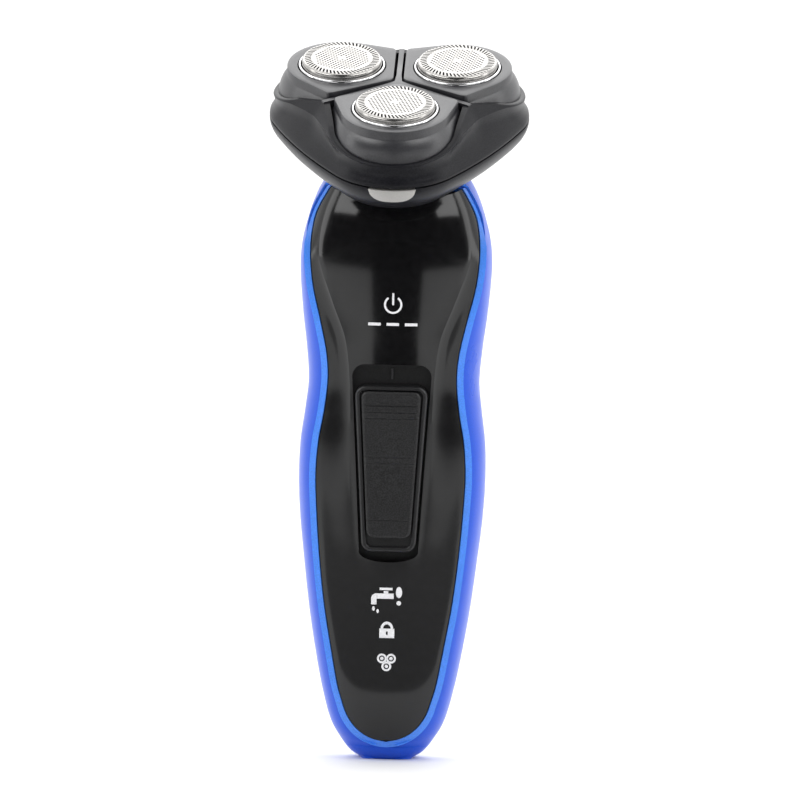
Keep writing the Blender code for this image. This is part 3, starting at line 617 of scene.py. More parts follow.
def fill_corner(point):
    """Moves a point of the bottom end out, where it would lie inside the inlet's corner."""
    across, deep = abs(point.x) / INLET_RIM[0], abs(point.y) / INLET_RIM[1]
    fill = across**RIM_POWER + deep**RIM_POWER
    if fill >= 1:
        return point
    push = 1 + (fill ** (-1 / RIM_POWER) - 1) * max(1 - point.z / RIM_FADE, 0.0)
    return Vector((point.x * push, point.y * push, point.z))


def build_housing():
    low = [0.0, 0.15, 0.5, 1.0, 1.6, 2.3, 2.8]
    rows = [housing_row(z) for z in low + levels(PANEL_TIP - STRIP_WIDTH)]
    rows = [[fill_corner(point) for point in row] for row in rows[:6]] + rows[6:]
    socket = rounded_box(*INLET_OPENING)
    inner = [(*nearest_on(socket, point), 0.0) for point in rows[0]]
    foot = [(*mix(near[:2], point[:2], 0.6), 0.0) for near, point in zip(inner, rows[0])]
    edge = [point + Vector((0, 0, 0.05)) for point in rows[0]]
    rows = [inner, foot, edge] + rows[1:]
    rows += top_rows(rows[-1])
    last = len(rows[0]) - 2
    strip = {1, 2, 3, last - 1, last - 2, last - 3}
    housing = skin("rear_housing_blue", rows, LOOKS["blue"], thickness=1.4, sharp=24,
                   zone=(LOOKS["strip"], strip))
    finish_piece(housing, "handle", "blue_gloss", "rear_housing")


# --- Switch -----------------------------------------------------------------------------


def taper_outline(half_high, half_low, low, high, radius, count=9):
    """(x, z) outline of a tapered plate with rounded corners, wide end up."""
    slope = atan2(half_high - half_low, high - low)
    top = arc((half_high - radius, high - radius), radius, -slope, pi / 2, count)
    bottom = arc((half_low - radius, low + radius), radius, -pi / 2, -slope, count)
    right = bottom + top
    return right + [(-x, z) for x, z in reversed(right)]


def window_outline():
    """The opening for the switch: square on top, with a bowed lower edge."""
    half_low, low = WINDOW[1], WINDOW[2]
    upper = [point for point in taper_outline(*WINDOW) if point[1] > low + BOW + 1]
    right = [point for point in upper if point[0] > 0]
    bow = [
        (half_low * sin(angle), low + BOW * (1 - cos(angle) ** 0.9))
        for angle in spread(radians(-86), radians(86), 20)
    ]
    return bow + right + [(-x, z) for x, z in reversed(right)]


def inset_taper(plate, inset):
    half_high, half_low, low, high, radius = plate
    return taper_outline(half_high - inset, half_low - inset, low + inset, high - inset,
                         max(radius - inset, 0.3))


def build_slide():
    """The sliding frame: a rounded rim round a sunken seat for the pad."""
    profile = ((0.3, -12.1), (0, -12.3), (0, -15.0), (0.12, -15.5), (0.4, -15.82),
               (0.75, SLIDE_FRONT), (1.0, -15.84), (1.22, -15.6), (1.3, -15.2), (1.3, -14.8))
    rows = []
    for inset, y in profile:
        ring = inset_taper(SLIDE, inset)
        rows.append([(x, y, z) for x, z in ring + ring[:1]])
    spine = (SLIDE[2] + SLIDE[3]) / 2
    back, seat = ([(0, y, spine)] * len(rows[0]) for y in (profile[0][1], profile[-1][1]))
    rows = [back] + rows + [seat]
    slide = skin("slide_switch_frame", rows, LOOKS["slide"], sharp=40)
    finish_piece(slide, "switch", "matte_black", "slide_switch")


def plate_half(plate, z):
    """Half width of a tapered plate with rounded corners at a height."""
    half_high, half_low, low, high, radius = plate
    half = half_low + (half_high - half_low) * (z - low) / (high - low)
    near = min(z - low, high - z)
    if near < radius:
        half -= radius - (radius**2 - (radius - near) ** 2) ** 0.5
    return half


def build_pad():
    """The finger pad: slightly hollow fields between raised ribs and fine grooves."""
    low, high = PAD[2], PAD[3]
    ends = [0, 0.06, 0.18, 0.36, 0.6, 0.9, 1.3, 1.8]
    body = spread(low + 2.0, high - 2.0, 150)
    heights = [low + end for end in ends] + body + [high - end for end in reversed(ends)]
    rows = []
    for z in heights:
        half = plate_half(PAD, z)
        row = []
        for share in spread(-1, 1, 30):
            edge = min(half * (1 - abs(share)), z - low, high - z)
            y = PAD_FRONT + 0.35 * (1 - min(edge / 0.55, 1.0)) ** 2
            inside = min(edge / 0.9, 1.0)
            for groove in PAD_GROOVES:
                away = (z - groove) / 0.28
                y += 0.22 * inside * max(1 - away * away, 0.0) ** 2
                y -= 0.1 * inside * max(1 - ((z - groove - 0.55) / 0.4) ** 2, 0.0)
            y += 0.25 * inside * sin(pi * (z - low) / (high - low)) ** 2 * (1 - share**2)
            row.append((half * share, y, z))
        rows.append(row)
    pad = skin("grip_pad_grained", rows, LOOKS["pad"], outward=(0, -1, 0), thickness=1.3, sharp=40)
    finish_piece(pad, "switch", "grip_rubber", "grip_pad")


# --- Printed marks ----------------------------------------------------------------------


MARK_RAISE = 1.0
INK_LIFT = 0.03
INK_THICKNESS = 0.05


def panel_front(x, z):
    """y of the panel's surface at (x, z), where the handle doesn't lean."""
    section = Section(z)
    return -section.depth(x)


def mark(name, shapes):
    """Flat inked shapes, laid on the panel as one thin raised print."""
    made = []
    for number, rows in enumerate(shapes):
        laid = [[(x, panel_front(x, z) - INK_LIFT, z) for x, z in row] for row in raised(rows)]
        made.append(skin(f"{name}_{number}", laid, LOOKS["ink"], outward=(0, -1, 0)))
    obj = join(made)
    obj.name = obj.data.name = name
    apply_modifier(obj, "SOLIDIFY", thickness=INK_THICKNESS * MM, offset=-1.0)
    paint(obj, LOOKS["ink"])
    finish_piece(obj, "handle", "silver_paint")


def raised(rows):
    """The drawing moved up to where the marks stand on the panel."""
    return [[(x, z + MARK_RAISE) for x, z in row] for row in rows]


def disc(x, z, radius_x, radius_z=None, hole=0.0, start=0.0, end=2 * pi):
    """Rows of (x, z) points for a disc or a ring, or a part of one."""
    radius_z = radius_z or radius_x
    rows = []
    for share in (hole, (1 + hole) / 2, 1.0):
        wide, tall = radius_x * share, radius_z * share
        rows.append([(x + wide * cos(a), z + tall * sin(a)) for a in spread(start, end, 28)])
    return rows


def bar(x0, z0, x1, z1):
    return [[(x, z) for x in spread(x0, x1, 4)] for z in (z0, z1)]


def build_marks():
    mark("mark_power", [
        disc(0, 109.4, 2.2, hole=0.78, start=radians(125), end=radians(415)),
        bar(-0.24, 109.3, 0.24, 112.2),
    ])
    mark("mark_dashes", [bar(x - 1.5, 104.3, x + 1.5, 105.0) for x in (-4.4, 0, 4.4)])
    mark("mark_tap", [
        bar(-2.6, 38.6, 1.5, 39.9),
        disc(-2.6, 38.6, 1.3, start=radians(90), end=radians(180)),
        bar(-3.9, 37.2, -2.6, 38.6),
        bar(-0.9, 39.9, 0.2, 40.5),
        bar(-1.9, 40.7, 1.2, 41.3),
        disc(-3.3, 36.2, 0.32, 0.55),
        disc(-2.3, 35.6, 0.3, 0.5),
    ])
    mark("mark_warning", [disc(2.75, 40.2, 0.75, 1.35), disc(2.75, 37.6, 0.55)])
    mark("mark_lock", [
        bar(-1.8, 29.1, -0.22, 31.4),
        bar(0.22, 29.1, 1.8, 31.4),
        bar(-0.22, 29.1, 0.22, 29.9),
        bar(-0.22, 30.7, 0.22, 31.4),
        disc(0, 31.4, 1.5, 1.7, hole=0.6, start=0, end=pi),
    ])
    spots = ((-1.1, 24.1), (1.1, 24.1), (0, 22.2))
    mark("mark_cutters", [disc(*spot, 1.18, hole=0.6) for spot in spots]
         + [disc(*spot, 0.42) for spot in spots])


def build_on_mark():
    """The small moulded stroke in the recess, which the switch points to when it is on."""
    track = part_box("switch_track")
    front = track[0].y / MM
    outline = [(-0.3, 92.2), (0.3, 92.2), (0.3, 94.8), (-0.3, 94.8)]
    rows = []
    for y, grow in ((front - 0.05, 0.0), (front - 0.4, 0.0), (front - 0.5, -0.08)):
        ring = [(x + grow * (1 if x > 0 else -1), y, z) for x, z in outline]
        rows.append(ring + ring[:1])
    rows = [[(0, rows[0][0][1], 93.5)] * 5] + rows + [[(0, rows[-1][0][1], 93.5)] * 5]
    stroke = skin("on_mark", rows, LOOKS["pod"], sharp=30)
    finish_piece(stroke, "handle", "matte_black")


# --- Head shells ------------------------------------------------------------------------


def side_circle():
    """Radius of the side arcs that meet the corner arcs smoothly, and where they meet."""
    inner = CUTTER_CIRCLE / 2 - SIDE_REACH
    across = CUTTER_CIRCLE * sin(radians(60))
    radius = (CORNER_RADIUS**2 - inner**2 - across**2) / (2 * (inner + CORNER_RADIUS))
    return radius, atan2(across, radius + inner)


CORNER_COUNT = 29
SIDE_COUNT = 14


def head_outline(grow=0.0):
    """Closed (u, v) outline of the head at its seam, grown or drawn in."""
    radius, meet = side_circle()
    turn = radians(60) - meet
    points = []
    for corner in CUTTER_ANGLES:
        centre = polar(CUTTER_CIRCLE, corner)
        points += arc(centre, CORNER_RADIUS + grow, corner - turn, corner + turn, CORNER_COUNT)
        middle = corner + radians(60)
        back = polar(SIDE_REACH - radius, middle)
        side = arc(back, radius + grow, middle - meet, middle + meet, SIDE_COUNT + 2)
        points += side[1:-1]
    return points + points[:1]


def lip_outline(arc_radius, tip):
    """Closed (u, v, share) line of the cover's lip: share is 1 at a tip and 0 at a corner."""
    tip_point = Vector((tip / 2 - CUTTER_CIRCLE, tip * sin(radians(60))))
    reach = atan2(tip_point.y, tip_point.x) - acos(arc_radius / tip_point.length)
    half = SIDE_COUNT // 2
    points = []
    for corner in CUTTER_ANGLES:
        centre = polar(CUTTER_CIRCLE, corner)
        ring = arc(centre, arc_radius, corner - reach, corner + reach, CORNER_COUNT)
        for i, point in enumerate(ring):
            away = abs(2 * i / (CORNER_COUNT - 1) - 1)
            points.append((*point, 0.6 * away**2.2))
        end = polar(tip, corner + radians(60))
        following = corner + radians(120)
        start = arc(polar(CUTTER_CIRCLE, following), arc_radius, following - reach, following, 2)[0]
        for i in range(1, half + 1):
            share = i / (half + 0.4)
            points.append((*mix(ring[-1], end, share), 0.6 + 0.4 * share))
        for i in range(half, 0, -1):
            share = i / (half + 0.4)
            points.append((*mix(start, end, share), 0.6 + 0.4 * share))
    return points + points[:1]


def circle_like(outline, radius):
    """Points of a circle in the same directions as the points of an outline."""
    return [polar(radius, atan2(v, u)) for u, v in outline]


def build_base():
    """The lower half of the head, one closed wall from the shaft hole round and back in."""
    outer = ((-21.9, -9.2), (-21.35, -7.4), (-20.75, -5.8), (-20.0, -4.4), (-19.0, -3.1),
             (-17.9, -2.0), (-16.7, -1.1), (-15.6, -0.5), (-14.5, -0.13), (-13.55, 0.0),
             (-13.35, -0.08), (-13.3, -0.3), (-13.3, -1.4), (-14.2, -1.6), (-16.0, -2.3),
             (-19.0, -4.6), (-20.6, -7.2))
    plain = head_outline()
    shaft_hole = circle_like(plain, 3.4)
    under = between(circle_like(plain, 14.5), head_outline(-11.5), 0.45)
    rows = [at_height(shaft_hole, BASE_FLOOR_W)]
    rows.append(at_height(circle_like(plain, 10.0), BASE_FLOOR_W))
    rows.append(at_height(under, BASE_FLOOR_W + 0.45))
    rows += [at_height(head_outline(grow), w) for w, grow in outer]
    rows.append(at_height(shaft_hole, -20.9))
    base = skin("head_base_shell", rows + rows[:1], LOOKS["dark"], HEAD, sharp=42)
    cut(base, button_block("button_tool", 0.22, 6.0, 0.6))
    notch = prism("notch_tool", [(-3.3, 24.6), (3.3, 24.6), (3.3, 31), (-3.3, 31)], -15.1, -12,
                  place=HEAD)
    cut(base, notch)
    for side in (-1, 1):
        barrel = hinge_barrel(f"base_barrel_{side}", side * 3.4, side * 6.2)
        cut(base, barrel, "UNION")
    smooth_by_angle(base, 42)
    paint(base, LOOKS["dark"])
    finish_piece(base, "handle", "dark_satin", "head_base")


HINGE_V = 26.6
HINGE_W = -13.15


def hinge_barrel(name, start, end):
    """A short tube round the hinge pin, from one place across to another."""
    low, high = sorted((start, end))
    profile = [(0.95, low), (1.3, low), (1.5, low + 0.2), (1.5, high - 0.2), (1.3, high),
               (0.95, high)]
    place = HEAD @ Matrix.Translation((0, HINGE_V, HINGE_W)) @ Matrix.Rotation(pi / 2, 4, "Y")
    return turned(name, profile, LOOKS["dark"], place, sides=32)


def button_block(name, grow, depth, proud):
    """The release button's form: straight on top, curved below, following the head's front."""
    half = 5.7 + grow
    top = SEAM_W - 0.5 + grow
    rows = []
    for step in spread(0, 1, 14):
        row = []
        for share in spread(-1, 1, 28):
            u = half * share
            tall = (3.3 + grow) * (1 - abs(share) ** 3.2) ** 0.55
            w = top - max(tall, 0.02) * step
            inset = 0.55 * max(top - w, 0) ** 1.3 / 3
            radius = CORNER_RADIUS + proud - inset
            v = -CUTTER_CIRCLE - (radius**2 - u**2) ** 0.5
            row.append((u, v, w))
        rows.append(row)
    facing = HEAD.to_3x3() @ Vector((0, -1, 0))
    return skin(name, rows, LOOKS["silver"], HEAD, outward=facing, thickness=depth, sharp=30)


def build_button():
    button = button_block("release_button_silver", 0.0, 2.2, 0.12)
    apply_modifier(button, "BEVEL", width=0.16 * MM, segments=2, limit_method="ANGLE",
                   angle_limit=radians(50))
    smooth_by_angle(button, 50)
    finish_piece(button, "button", "silver_paint", "release_button")


def build_button_spring():
    """The coil behind the release button."""
    turns, steps, length, radius, wire = 3, 48, 2.6, 1.0, 0.22
    seat = Vector((0, -26.4, -15))
    rows = []
    for i in range(steps + 1):
        angle = 2 * pi * turns * i / steps
        out = Vector((cos(angle), 0, sin(angle)))
        centre = seat + out * radius - Vector((0, length * i / steps, 0))
        ring = [centre + out * wire * cos(b) + Vector((0, wire * sin(b), 0))
                for b in spread(0, 2 * pi, 9)]
        rows += [[centre] * 9, ring] if i == 0 else [ring]
    # Known fault: the end rows hold nine points and the rings ten, so the grid slips one
    # point a row, and the wire has a seam and stops short of its last steps.
    rows.append([centre] * 9)
    spring = skin("button_coil", rows, LOOKS["steel"], HEAD, sharp=60)
    finish_piece(spring, "handle", "bare_steel", "button_spring")
    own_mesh(spring)


COVER_LIP = (15.15, 19.6)
COVER_LIP_DEEP = (13.75, 18.55)
LEAN_FROM_W = -4.8
LEAN_HEIGHT = 3.4


def outward(point):
    """The direction straight away from the drive axis at a point."""
    return Vector((point.x, point.y, 0)).normalized()


def cover_rows():
    """Rows from the seam up the sculpted face of the cover to its lip, and down inside."""
    lip = lip_outline(15.9, 20.2)
    heights = [-7.5 + 6.2 * share for *_, share in lip]
    edge = [(u, v, w) for (u, v, _), w in zip(lip, heights)]
    shoulder = at_height(head_outline(-0.12), SEAM_W + 1.0)
    arris = []
    for (u, v, share), top, low in zip(lip, edge, shoulder):
        point = Vector(mix(top, low, 0.1 + 0.2 * share**2))
        swell = 0.25 + 1.1 * share * (1 - share) + 0.5 * share
        arris.append(point + outward(point) * swell)
    seam = ((-1.5, 0.0), (-0.3, 0.0), (-0.05, 0.1), (0.0, 0.3))
    rows = [at_height(head_outline(grow), SEAM_W + up) for grow, up in seam] + [shoulder]
    for t in spread(0, 1, 9)[1:]:
        row = []
        for low, high, (*_, share) in zip(shoulder, arris, lip):
            point = Vector(mix(low, high, t))
            scoop = (0.55 + 1.0 * share) * sin(pi * t) * (1 - 0.3 * share)
            row.append(point - outward(point) * scoop)
        rows.append(row)
    for t in spread(0, 1, 4)[1:]:
        row = []
        for low, high in zip(arris, edge):
            point = Vector(mix(low, high, t))
            row.append(point + outward(point) * 0.12 * sin(pi * t))
        rows.append(row)
    inner, near = lip_outline(*COVER_LIP), lip_outline(*COVER_LIP_DEEP)
    for drop in (0.12, 0.9, 2.0, 3.2):
        row = []
        for wall, close, top in zip(inner, near, heights):
            w = top - drop * max(wall[2], 0.04)
            lean = max((w - LEAN_FROM_W) / LEAN_HEIGHT, 0.0) ** 1.2
            row.append((*mix(wall[:2], close[:2], min(lean, 1.0)), w))
        rows.append(row)
    rows.append([(u, v, DECK_W) for u, v, _ in inner])
    rows.append(at_height(head_outline(-2.9), DECK_W - 1.2))
    return rows


def build_cover():
    rows = cover_rows()
    cover = skin("head_cover_shell", rows + rows[:1], LOOKS["dark"], HEAD, sharp=32)
    for side in (-1, 1):
        low, high = sorted((side * 3.0, side * 6.6))
        relief = prism(f"relief_tool_{side}", [(low, 24.7), (high, 24.7), (high, 31), (low, 31)],
                       -16, -11.3, place=HEAD)
        cut(cover, relief)
    cut(cover, hinge_barrel("cover_barrel", -2.9, 2.9), "UNION")
    smooth_by_angle(cover, 32)
    paint(cover, LOOKS["dark"])
    finish_piece(cover, "cover", "dark_satin", "head_cover")

    deck = prism("cover_deck", [point[:2] for point in lip_outline(15.4, 19.8)[:-1]],
                 DECK_W - 1.4, DECK_W, place=HEAD)
    for angle in CUTTER_ANGLES:
        well = turned("well_tool", [(0, -14), (9.0, -14), (9.0, -6), (0, -6)], LOOKS["dark"],
                      HEAD @ Matrix.Translation((*polar(CUTTER_CIRCLE, angle), 0)))
        cut(deck, well)
    paint(deck, LOOKS["dark"])
    finish_piece(deck, "cover", "dark_satin")
    build_bridge()


def build_bridge():
    """The Y-shaped bridge that shows between the pods, widening where its arms meet."""
    half_width, start, reach, valley = 0.62, 4.6, 20.4, 1.2
    outline = []
    for arm in sorted(angle + radians(60) for angle in CUTTER_ANGLES):
        along = Vector(polar(1, arm))
        side = Vector((-along.y, along.x)) * half_width
        near, far = along * start, along * reach
        outline += [near - side, far - side, far + side, near + side]
        outline.append(Vector(polar(valley, arm + radians(60))))
    rows = []
    for height, shrink in ((DECK_W - 0.2, 0.0), (-0.75, 0.0), (-0.5, 0.15), (-0.4, 0.4)):
        ring = outline + outline[:1]
        drawn_in = [point - point.normalized() * shrink * 0.5 for point in ring]
        rows.append([(*point, height - 0.8 * point.length / reach) for point in drawn_in])
    rows = [[(0, 0, rows[0][0][2])] * len(rows[0])] + rows + [[(0, 0, -0.4)] * len(rows[0])]
    bridge = skin("cover_bridge", rows, LOOKS["pod"], HEAD, sharp=40)
    finish_piece(bridge, "cover", "grey_satin")


# --- Pods and cutters -------------------------------------------------------------------


def pod_outline(arc_radius, tip, groove, corner=2.0):
    """Closed (a, b) outline of a pod about its cutter, a pointing away from the middle."""
    half = radians(60)
    inner = (-CUTTER_CIRCLE + (groove + corner) / sin(half), 0)
    along = Vector((cos(half), sin(half)))
    point = Vector((-CUTTER_CIRCLE, 0)) + along * tip + Vector((along.y, -along.x)) * groove
    reach = atan2(point.y, point.x) - acos(arc_radius / point.length)
    nose = arc(inner, corner, pi + radians(30), pi - radians(30), 9)
    big = arc((0, 0), arc_radius, reach, -reach, 49)
    up = [mix(nose[-1], point, share) for share in spread(0, 1, 14)[1:-1]]
    rounded = [mix(mix(up[-1], point, t), mix(point, big[0], t * 0.12), t) for t in (0.5, 0.8, 1.0)]
    over = [mix(point, big[0], share) for share in spread(0.12, 1, 7)[1:-1]]
    right = up + rounded + over
    return nose + right + big + [(a, -b) for a, b in reversed(right)] + nose[:1]


def build_pod(number, place):
    """A pod: flat satin plate, crisp edge, sloping skirt and the well of its cutter."""
    top, skirt = pod_outline(*POD_TOP), pod_outline(*POD_SKIRT)
    bore = [polar(POD_BORE, atan2(b, a)) for a, b in top]
    ledge = [polar(8.8, atan2(b, a)) for a, b in top]
    profile = ((-8.0, 1.0), (-6.3, 0.96), (-4.8, 0.8), (-3.6, 0.56), (-2.8, 0.32), (-2.45, 0.18),
               (-2.25, 0.06), (-2.1, 0.03), (-0.28, 0.0))
    rows = [at_height(between(top, skirt, share), w) for w, share in profile]
    plate = ((0.03, -0.08), (0.1, 0.0), (0.5, 0.0), (0.97, 0.0), (1.0, -0.12), (1.0, -5.6))
    rows += [at_height(between(top, bore, share), w) for share, w in plate]
    rows += [at_height(ledge, w) for w in (-5.6, -8.0)]
    pod = skin(f"pod_{number}", rows + rows[:1], LOOKS["pod"], place, sharp=30)
    finish_piece(pod, f"pod_{number}", "grey_satin", f"shaving_pod_{number}")


def build_ring(number, place):
    """The polished ring round a guard cap, with a rounded flange and a bright inner step."""
    profile = [(9.85, -3.4), (10.4, -3.4), (10.4, 0.0), (10.36, 0.22), (10.24, 0.38),
               (10.08, 0.45), (9.95, 0.4), (9.88, 0.25), (9.85, 0.0)]
    ring = turned(f"ring_{number}", profile, LOOKS["chrome"], place, sharp=50)
    finish_piece(ring, f"pod_{number}", "chrome", f"chrome_ring_{number}")


CAP_TOP = 1.8
SLOT_COUNT = 56
SLOT_SIZE = (1.7, 0.42, 1.6)
SLOT_MIDDLE = 8.15
SLOT_TURN = 24
HOLE_PITCH = 0.84
HOLE_RADIUS = 0.26
HOLES_FROM, HOLES_TO = 1.0, 6.5


def build_cap_master():
    """One guard cap with its slots and holes cut through, at the middle of the head. The cut walls
    of the slots and holes take the dark blade look: painted shade inside them.
    """
    profile = [(8.7, -3.6), (9.6, -3.6), (9.6, 1.0), (9.52, 1.35), (9.35, 1.6), (9.1, 1.74),
               (8.8, CAP_TOP), (7.2, CAP_TOP + 0.04), (7.0, CAP_TOP + 0.02), (0, CAP_TOP + 0.06),
               (0, 1.45), (8.7, 1.4)]
    cap = turned("cap_master", profile, LOOKS["foil"], Matrix.Identity(4), sides=120)
    start_fresh()
    tools = []
    for i in range(SLOT_COUNT):
        angle = 2 * pi * i / SLOT_COUNT
        spot = Vector((*polar(SLOT_MIDDLE, angle), 1.6)) * MM
        bpy.ops.mesh.primitive_cube_add(size=1, location=spot)
        tool = bpy.context.object
        tool.scale = Vector(SLOT_SIZE) * MM
        tool.rotation_euler.z = angle + radians(SLOT_TURN)
        tools.append(tool)
    count = ceil(HOLES_TO / HOLE_PITCH)
    for i in range(-count, count + 1):
        for j in range(-count, count + 1):
            x, y = i * HOLE_PITCH, j * HOLE_PITCH
            if HOLES_FROM < (x * x + y * y) ** 0.5 < HOLES_TO:
                bpy.ops.mesh.primitive_cylinder_add(
                    vertices=8, radius=HOLE_RADIUS * MM, depth=1.6 * MM,
                    location=Vector((x, y, 1.6)) * MM,
                )
                tools.append(bpy.context.object)
    tool = join(tools)
    bpy.ops.object.transform_apply(location=True, rotation=True, scale=True)
    # Painted shade: the tool's dark blade look passes to the walls it cuts in the cap.
    paint(tool, LOOKS["blade"])
    cut(cap, tool, material_mode="TRANSFER")
    smooth_by_angle(cap, 35)
    return cap


def build_cap(number, place, master, turn):
    cap = bpy.data.objects.new(f"guard_cap_{number}", master.data.copy())
    cap.data.name = cap.name
    bpy.context.collection.objects.link(cap)
    metres = place.copy()
    metres.translation = place.translation * MM
    cap.data.transform(metres @ Matrix.Rotation(turn, 4, "Z"))
    finish_piece(cap, f"cap_{number}", "foil_steel", f"cutter_cap_{number}")


# --- CAD pieces that stay ---------------------------------------------------------------

KEPT_LOOKS = {
    "socket": ("charging_inlet", "switch_track", "switch_actuator", "micro_switch", "neck_collar"),
    "pad": ("shaft_seal",),
    "blue": ("retaining_knob",),
    "steel": ("motor_can", "motor_rotor", "hinge_pin", "battery_tab_bottom",
              "battery_tab_top", "chassis_screw_1", "chassis_screw_2"),
    "brass": ("inlet_pin_left", "inlet_pin_right"),
    "natural": ("inner_chassis", "motor_end_cap", "drive_coupling", "gear_plate",
                "retaining_frame"),
    "gear": ("sun_gear",),
    "board": ("circuit_board",),
    "sleeve": ("battery_cell",),
    "lens": ("light_guide",),
}
KEPT_THREES = {
    "steel": ("spindle_spring", "gear_plate_screw"),
    # The inner cutters take the dark look that paints the shade under the caps.
    "blade": ("inner_cutter",),
    "natural": ("drive_spindle",),
    "gear": ("planet_gear",),
    "lens": ("status_led",),
}


def dress_kept_nodes():
    chosen = {name: look for look, names in KEPT_LOOKS.items() for name in names}
    for look, names in KEPT_THREES.items():
        chosen.update({f"{name}_{number}": look for name in names for number in (1, 2, 3)})
    for name, look in chosen.items():
        node = NODES[name]
        node.data.materials.clear()
        node.data.materials.append(LOOKS[look])


# --- Stage ------------------------------------------------------------------------------


FLOOR_HALF = 9000
FLOOR_Z = -0.02
FRONT_APRON = ((-420, 30), (-560, 95), (-800, 140), (-1150, 205), (-1300, 320), (-1450, 900),
               (-1700, 3500), (-8900, 5000))
NEAR_APRON = ((-45, 60), (-120, 220), (-260, 380), (-430, 480))
STAGE_MIDDLE = (0, 0, 0.09)
# Lights: name, place, what it faces, size, brightness. Places and sizes are in metres.
LIGHTS = (
    ("left_softbox", (-0.8, -0.75, 0.95), STAGE_MIDDLE, (0.9, 0.7), 3.2),
    ("right_softbox", (0.8, -0.75, 0.95), STAGE_MIDDLE, (0.9, 0.7), 3.2),
    ("left_strip", (-2.7, -0.33, 0.95), STAGE_MIDDLE, (0.85, 3.3), 2.1),
    ("right_strip", (2.7, -0.33, 0.95), STAGE_MIDDLE, (0.85, 3.3), 2.1),
    ("top_softbox", (0, 0.1, 1.3), STAGE_MIDDLE, (1.2, 0.8), 1.0),
    ("rear_softbox", (0, 1.8, 1.6), (0, 1.5, 0), (3.2, 1.8), 1.4),
)
CAMERA_AIM = (0.0015, 0, 0.0862)
CAMERA_AZIMUTH, CAMERA_HEIGHT, CAMERA_ROLL = 2.2, 5.0, 1.15


def build_floor():
    """A wide pale floor."""
    across = spread(-FLOOR_HALF, FLOOR_HALF, 12)
    rows = [[(x, y, FLOOR_Z) for x in across] for y in across]
    skin("studio_floor", rows, surface("pale_floor", (0.88, 0.88, 0.88), 0.7))


def build_flag(name, outline, z, shade):
    """A dark card low over the floor, given as (y, half width), that only reflections see."""
    look = surface(f"{name}_cloth", (shade, shade, shade), 0.9)
    flag = skin(name, [[(x, y, z) for x in (-half, 0, half)] for y, half in outline], look)
    flag.visible_camera = flag.visible_diffuse = flag.visible_shadow = False


def add_light(name, location, target, size, brightness):
    """A soft rectangular light whose face is brightness times as bright as white paper."""
    data = bpy.data.lights.new(name, "AREA")
    data.shape = "RECTANGLE"
    data.size, data.size_y = size
    data.energy = brightness * pi * size[0] * size[1]
    light = bpy.data.objects.new(name, data)
    bpy.context.collection.objects.link(light)
    light.location = location
    light.rotation_euler = (Vector(target) - light.location).to_track_quat("-Z", "Y").to_euler()
    light.visible_camera = False


def light_room(world, settings):
    """A room that is brighter behind the shaver than in front of it."""
    nodes, links = world.node_tree.nodes, world.node_tree.links
    direction = nodes.new("ShaderNodeSeparateXYZ")
    links.new(nodes.new("ShaderNodeTexCoord").outputs["Generated"], direction.inputs["Vector"])
    depth = nodes.new("ShaderNodeMapRange")
    depth.interpolation_type = "SMOOTHSTEP"
    depth.inputs["From Min"].default_value = -0.55
    depth.inputs["From Max"].default_value = 0.5
    depth.inputs["To Min"].default_value = settings.room_light
    depth.inputs["To Max"].default_value = settings.back_light
    links.new(direction.outputs["Y"], depth.inputs["Value"])
    background = nodes["Background"]
    background.inputs["Color"].default_value = (1, 1, 1, 1)
    links.new(depth.outputs["Result"], background.inputs["Strength"])


def build_stage(settings):
    build_floor()
    build_flag("front_apron", FRONT_APRON, 2, 0.004)
    build_flag("near_apron", NEAR_APRON, 1, 0.3)
    world = bpy.context.scene.world or bpy.data.worlds.new("studio")
    bpy.context.scene.world = world
    world.use_nodes = True
    light_room(world, settings)
    for light in LIGHTS:
        add_light(*light)

    data = bpy.data.cameras.new("camera")
    data.sensor_width = 36
    data.lens = settings.lens
    camera = bpy.data.objects.new("camera", data)
    bpy.context.collection.objects.link(camera)
    azimuth, height = radians(CAMERA_AZIMUTH), radians(CAMERA_HEIGHT)
    toward = Vector((sin(azimuth) * cos(height), -cos(azimuth) * cos(height), sin(height)))
    camera.location = Vector(CAMERA_AIM) + toward * settings.distance
    facing = (-toward).to_track_quat("-Z", "Y").to_matrix()
    camera.rotation_euler = (facing @ Matrix.Rotation(radians(CAMERA_ROLL), 3, "Z")).to_euler()
    bpy.context.scene.camera = camera
    bpy.context.scene.view_settings.view_transform = "Standard"


# --- Add-on -----------------------------------------------------------------------------


class ShaverSettings(bpy.types.PropertyGroup):
    blue: FloatVectorProperty(name="Housing", description="Colour of the rear housing",
                              subtype="COLOR", size=3, default=(0.007, 0.08, 0.62))
    strip: FloatVectorProperty(name="Strip", description="Colour of the strip by the panel",
                               subtype="COLOR", size=3, default=(0.06, 0.25, 0.9))
    panel: FloatVectorProperty(name="Panel", description="Colour of the front panel",
                               subtype="COLOR", size=3, default=(0.003, 0.003, 0.0035))
    head: FloatVectorProperty(name="Head", description="Colour of the head's shells",
                              subtype="COLOR", size=3, default=(0.006, 0.006, 0.0085))
    pod: FloatVectorProperty(name="Pods", description="Colour of the floating pods",
                             subtype="COLOR", size=3, default=(0.018, 0.018, 0.022))
    room_light: FloatProperty(name="Room light", description="Strength of the light in front",
                              default=0.06, min=0.0)
    back_light: FloatProperty(name="Back light", description="Strength of the light from behind",
                              default=1.4, min=0.0)
    lens: FloatProperty(name="Lens", description="Focal length of the camera in millimetres",
                        default=1125.0, min=1.0)
    distance: FloatProperty(name="Camera distance", description="From the camera to the shaver",
                            default=6.0, unit="LENGTH", min=0.1)


class SHAVER_OT_looks(bpy.types.Operator):
    """Make the materials"""

    bl_idname = "shaver.looks"
    bl_label = "Materials"

    def execute(self, context):
        make_looks(context.scene.shaver)
        return {"FINISHED"}


class SHAVER_OT_handle(bpy.types.Operator):
    """Build the blue housing and the black front panel"""

    bl_idname = "shaver.handle"
    bl_label = "Handle"

    def execute(self, context):
        build_housing()
        build_panel()
        return {"FINISHED"}


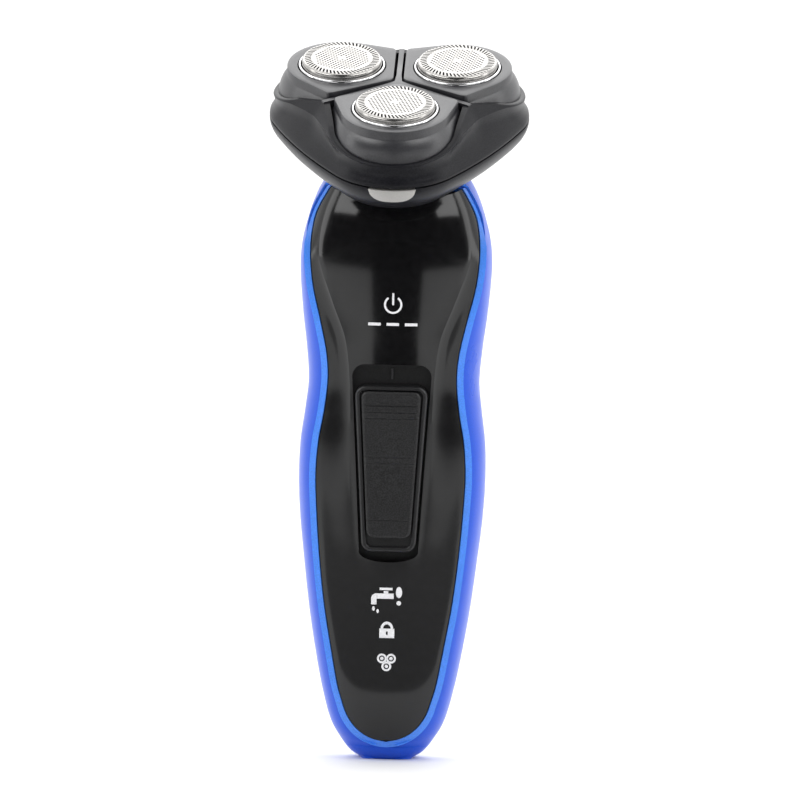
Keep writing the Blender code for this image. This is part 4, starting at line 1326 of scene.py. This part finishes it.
class SHAVER_OT_switch(bpy.types.Operator):
    """Build the slide switch, its pad and the mark it points to"""

    bl_idname = "shaver.switch"
    bl_label = "Switch"

    def execute(self, context):
        build_slide()
        build_pad()
        build_on_mark()
        return {"FINISHED"}


class SHAVER_OT_marks(bpy.types.Operator):
    """Print the pictograms on the panel"""

    bl_idname = "shaver.marks"
    bl_label = "Printed marks"

    def execute(self, context):
        build_marks()
        return {"FINISHED"}


class SHAVER_OT_head(bpy.types.Operator):
    """Build the head's two shells and the release button"""

    bl_idname = "shaver.head"
    bl_label = "Head shells"

    def execute(self, context):
        build_base()
        build_button()
        build_button_spring()
        build_cover()
        return {"FINISHED"}


class SHAVER_OT_cutters(bpy.types.Operator):
    """Build the three pods with their rings and guard caps"""

    bl_idname = "shaver.cutters"
    bl_label = "Pods and guards"

    def execute(self, context):
        master = build_cap_master()
        for number, angle in enumerate(CUTTER_ANGLES, 1):
            spot = Matrix.Translation((*polar(CUTTER_CIRCLE, angle), 0))
            place = HEAD @ spot @ Matrix.Rotation(angle, 4, "Z")
            build_pod(number, place)
            build_ring(number, place)
            build_cap(number, HEAD @ spot, master, radians(18 * number))
        bpy.data.objects.remove(master, do_unlink=True)
        return {"FINISHED"}


class SHAVER_OT_kept(bpy.types.Operator):
    """Give the working parts inside their finishes"""

    bl_idname = "shaver.kept"
    bl_label = "Inner parts"

    def execute(self, context):
        dress_kept_nodes()
        return {"FINISHED"}


class SHAVER_OT_stage(bpy.types.Operator):
    """Set up the floor, the lights and the camera"""

    bl_idname = "shaver.stage"
    bl_label = "Stage"

    def execute(self, context):
        build_stage(context.scene.shaver)
        return {"FINISHED"}


STEPS = (SHAVER_OT_looks, SHAVER_OT_handle, SHAVER_OT_switch, SHAVER_OT_marks, SHAVER_OT_head,
         SHAVER_OT_cutters, SHAVER_OT_kept, SHAVER_OT_stage)


class SHAVER_PT_panel(bpy.types.Panel):
    """Lists the settings and the steps of the build"""

    bl_idname = "SHAVER_PT_panel"
    bl_label = "Rotary Shaver"
    bl_space_type = "VIEW_3D"
    bl_region_type = "UI"
    bl_category = "Shaver"

    def draw(self, context):
        for name in ShaverSettings.__annotations__:
            self.layout.prop(context.scene.shaver, name)
        for step in STEPS:
            self.layout.operator(step.bl_idname)


def register():
    for kind in (ShaverSettings, *STEPS, SHAVER_PT_panel):
        bpy.utils.register_class(kind)
    bpy.types.Scene.shaver = PointerProperty(type=ShaverSettings)


def unregister():
    del bpy.types.Scene.shaver
    for kind in reversed((ShaverSettings, *STEPS, SHAVER_PT_panel)):
        bpy.utils.unregister_class(kind)


def main():
    register()
    for step in STEPS:
        group, name = step.bl_idname.split(".")
        getattr(getattr(bpy.ops, group), name)()


if __name__ == "__main__":
    main()
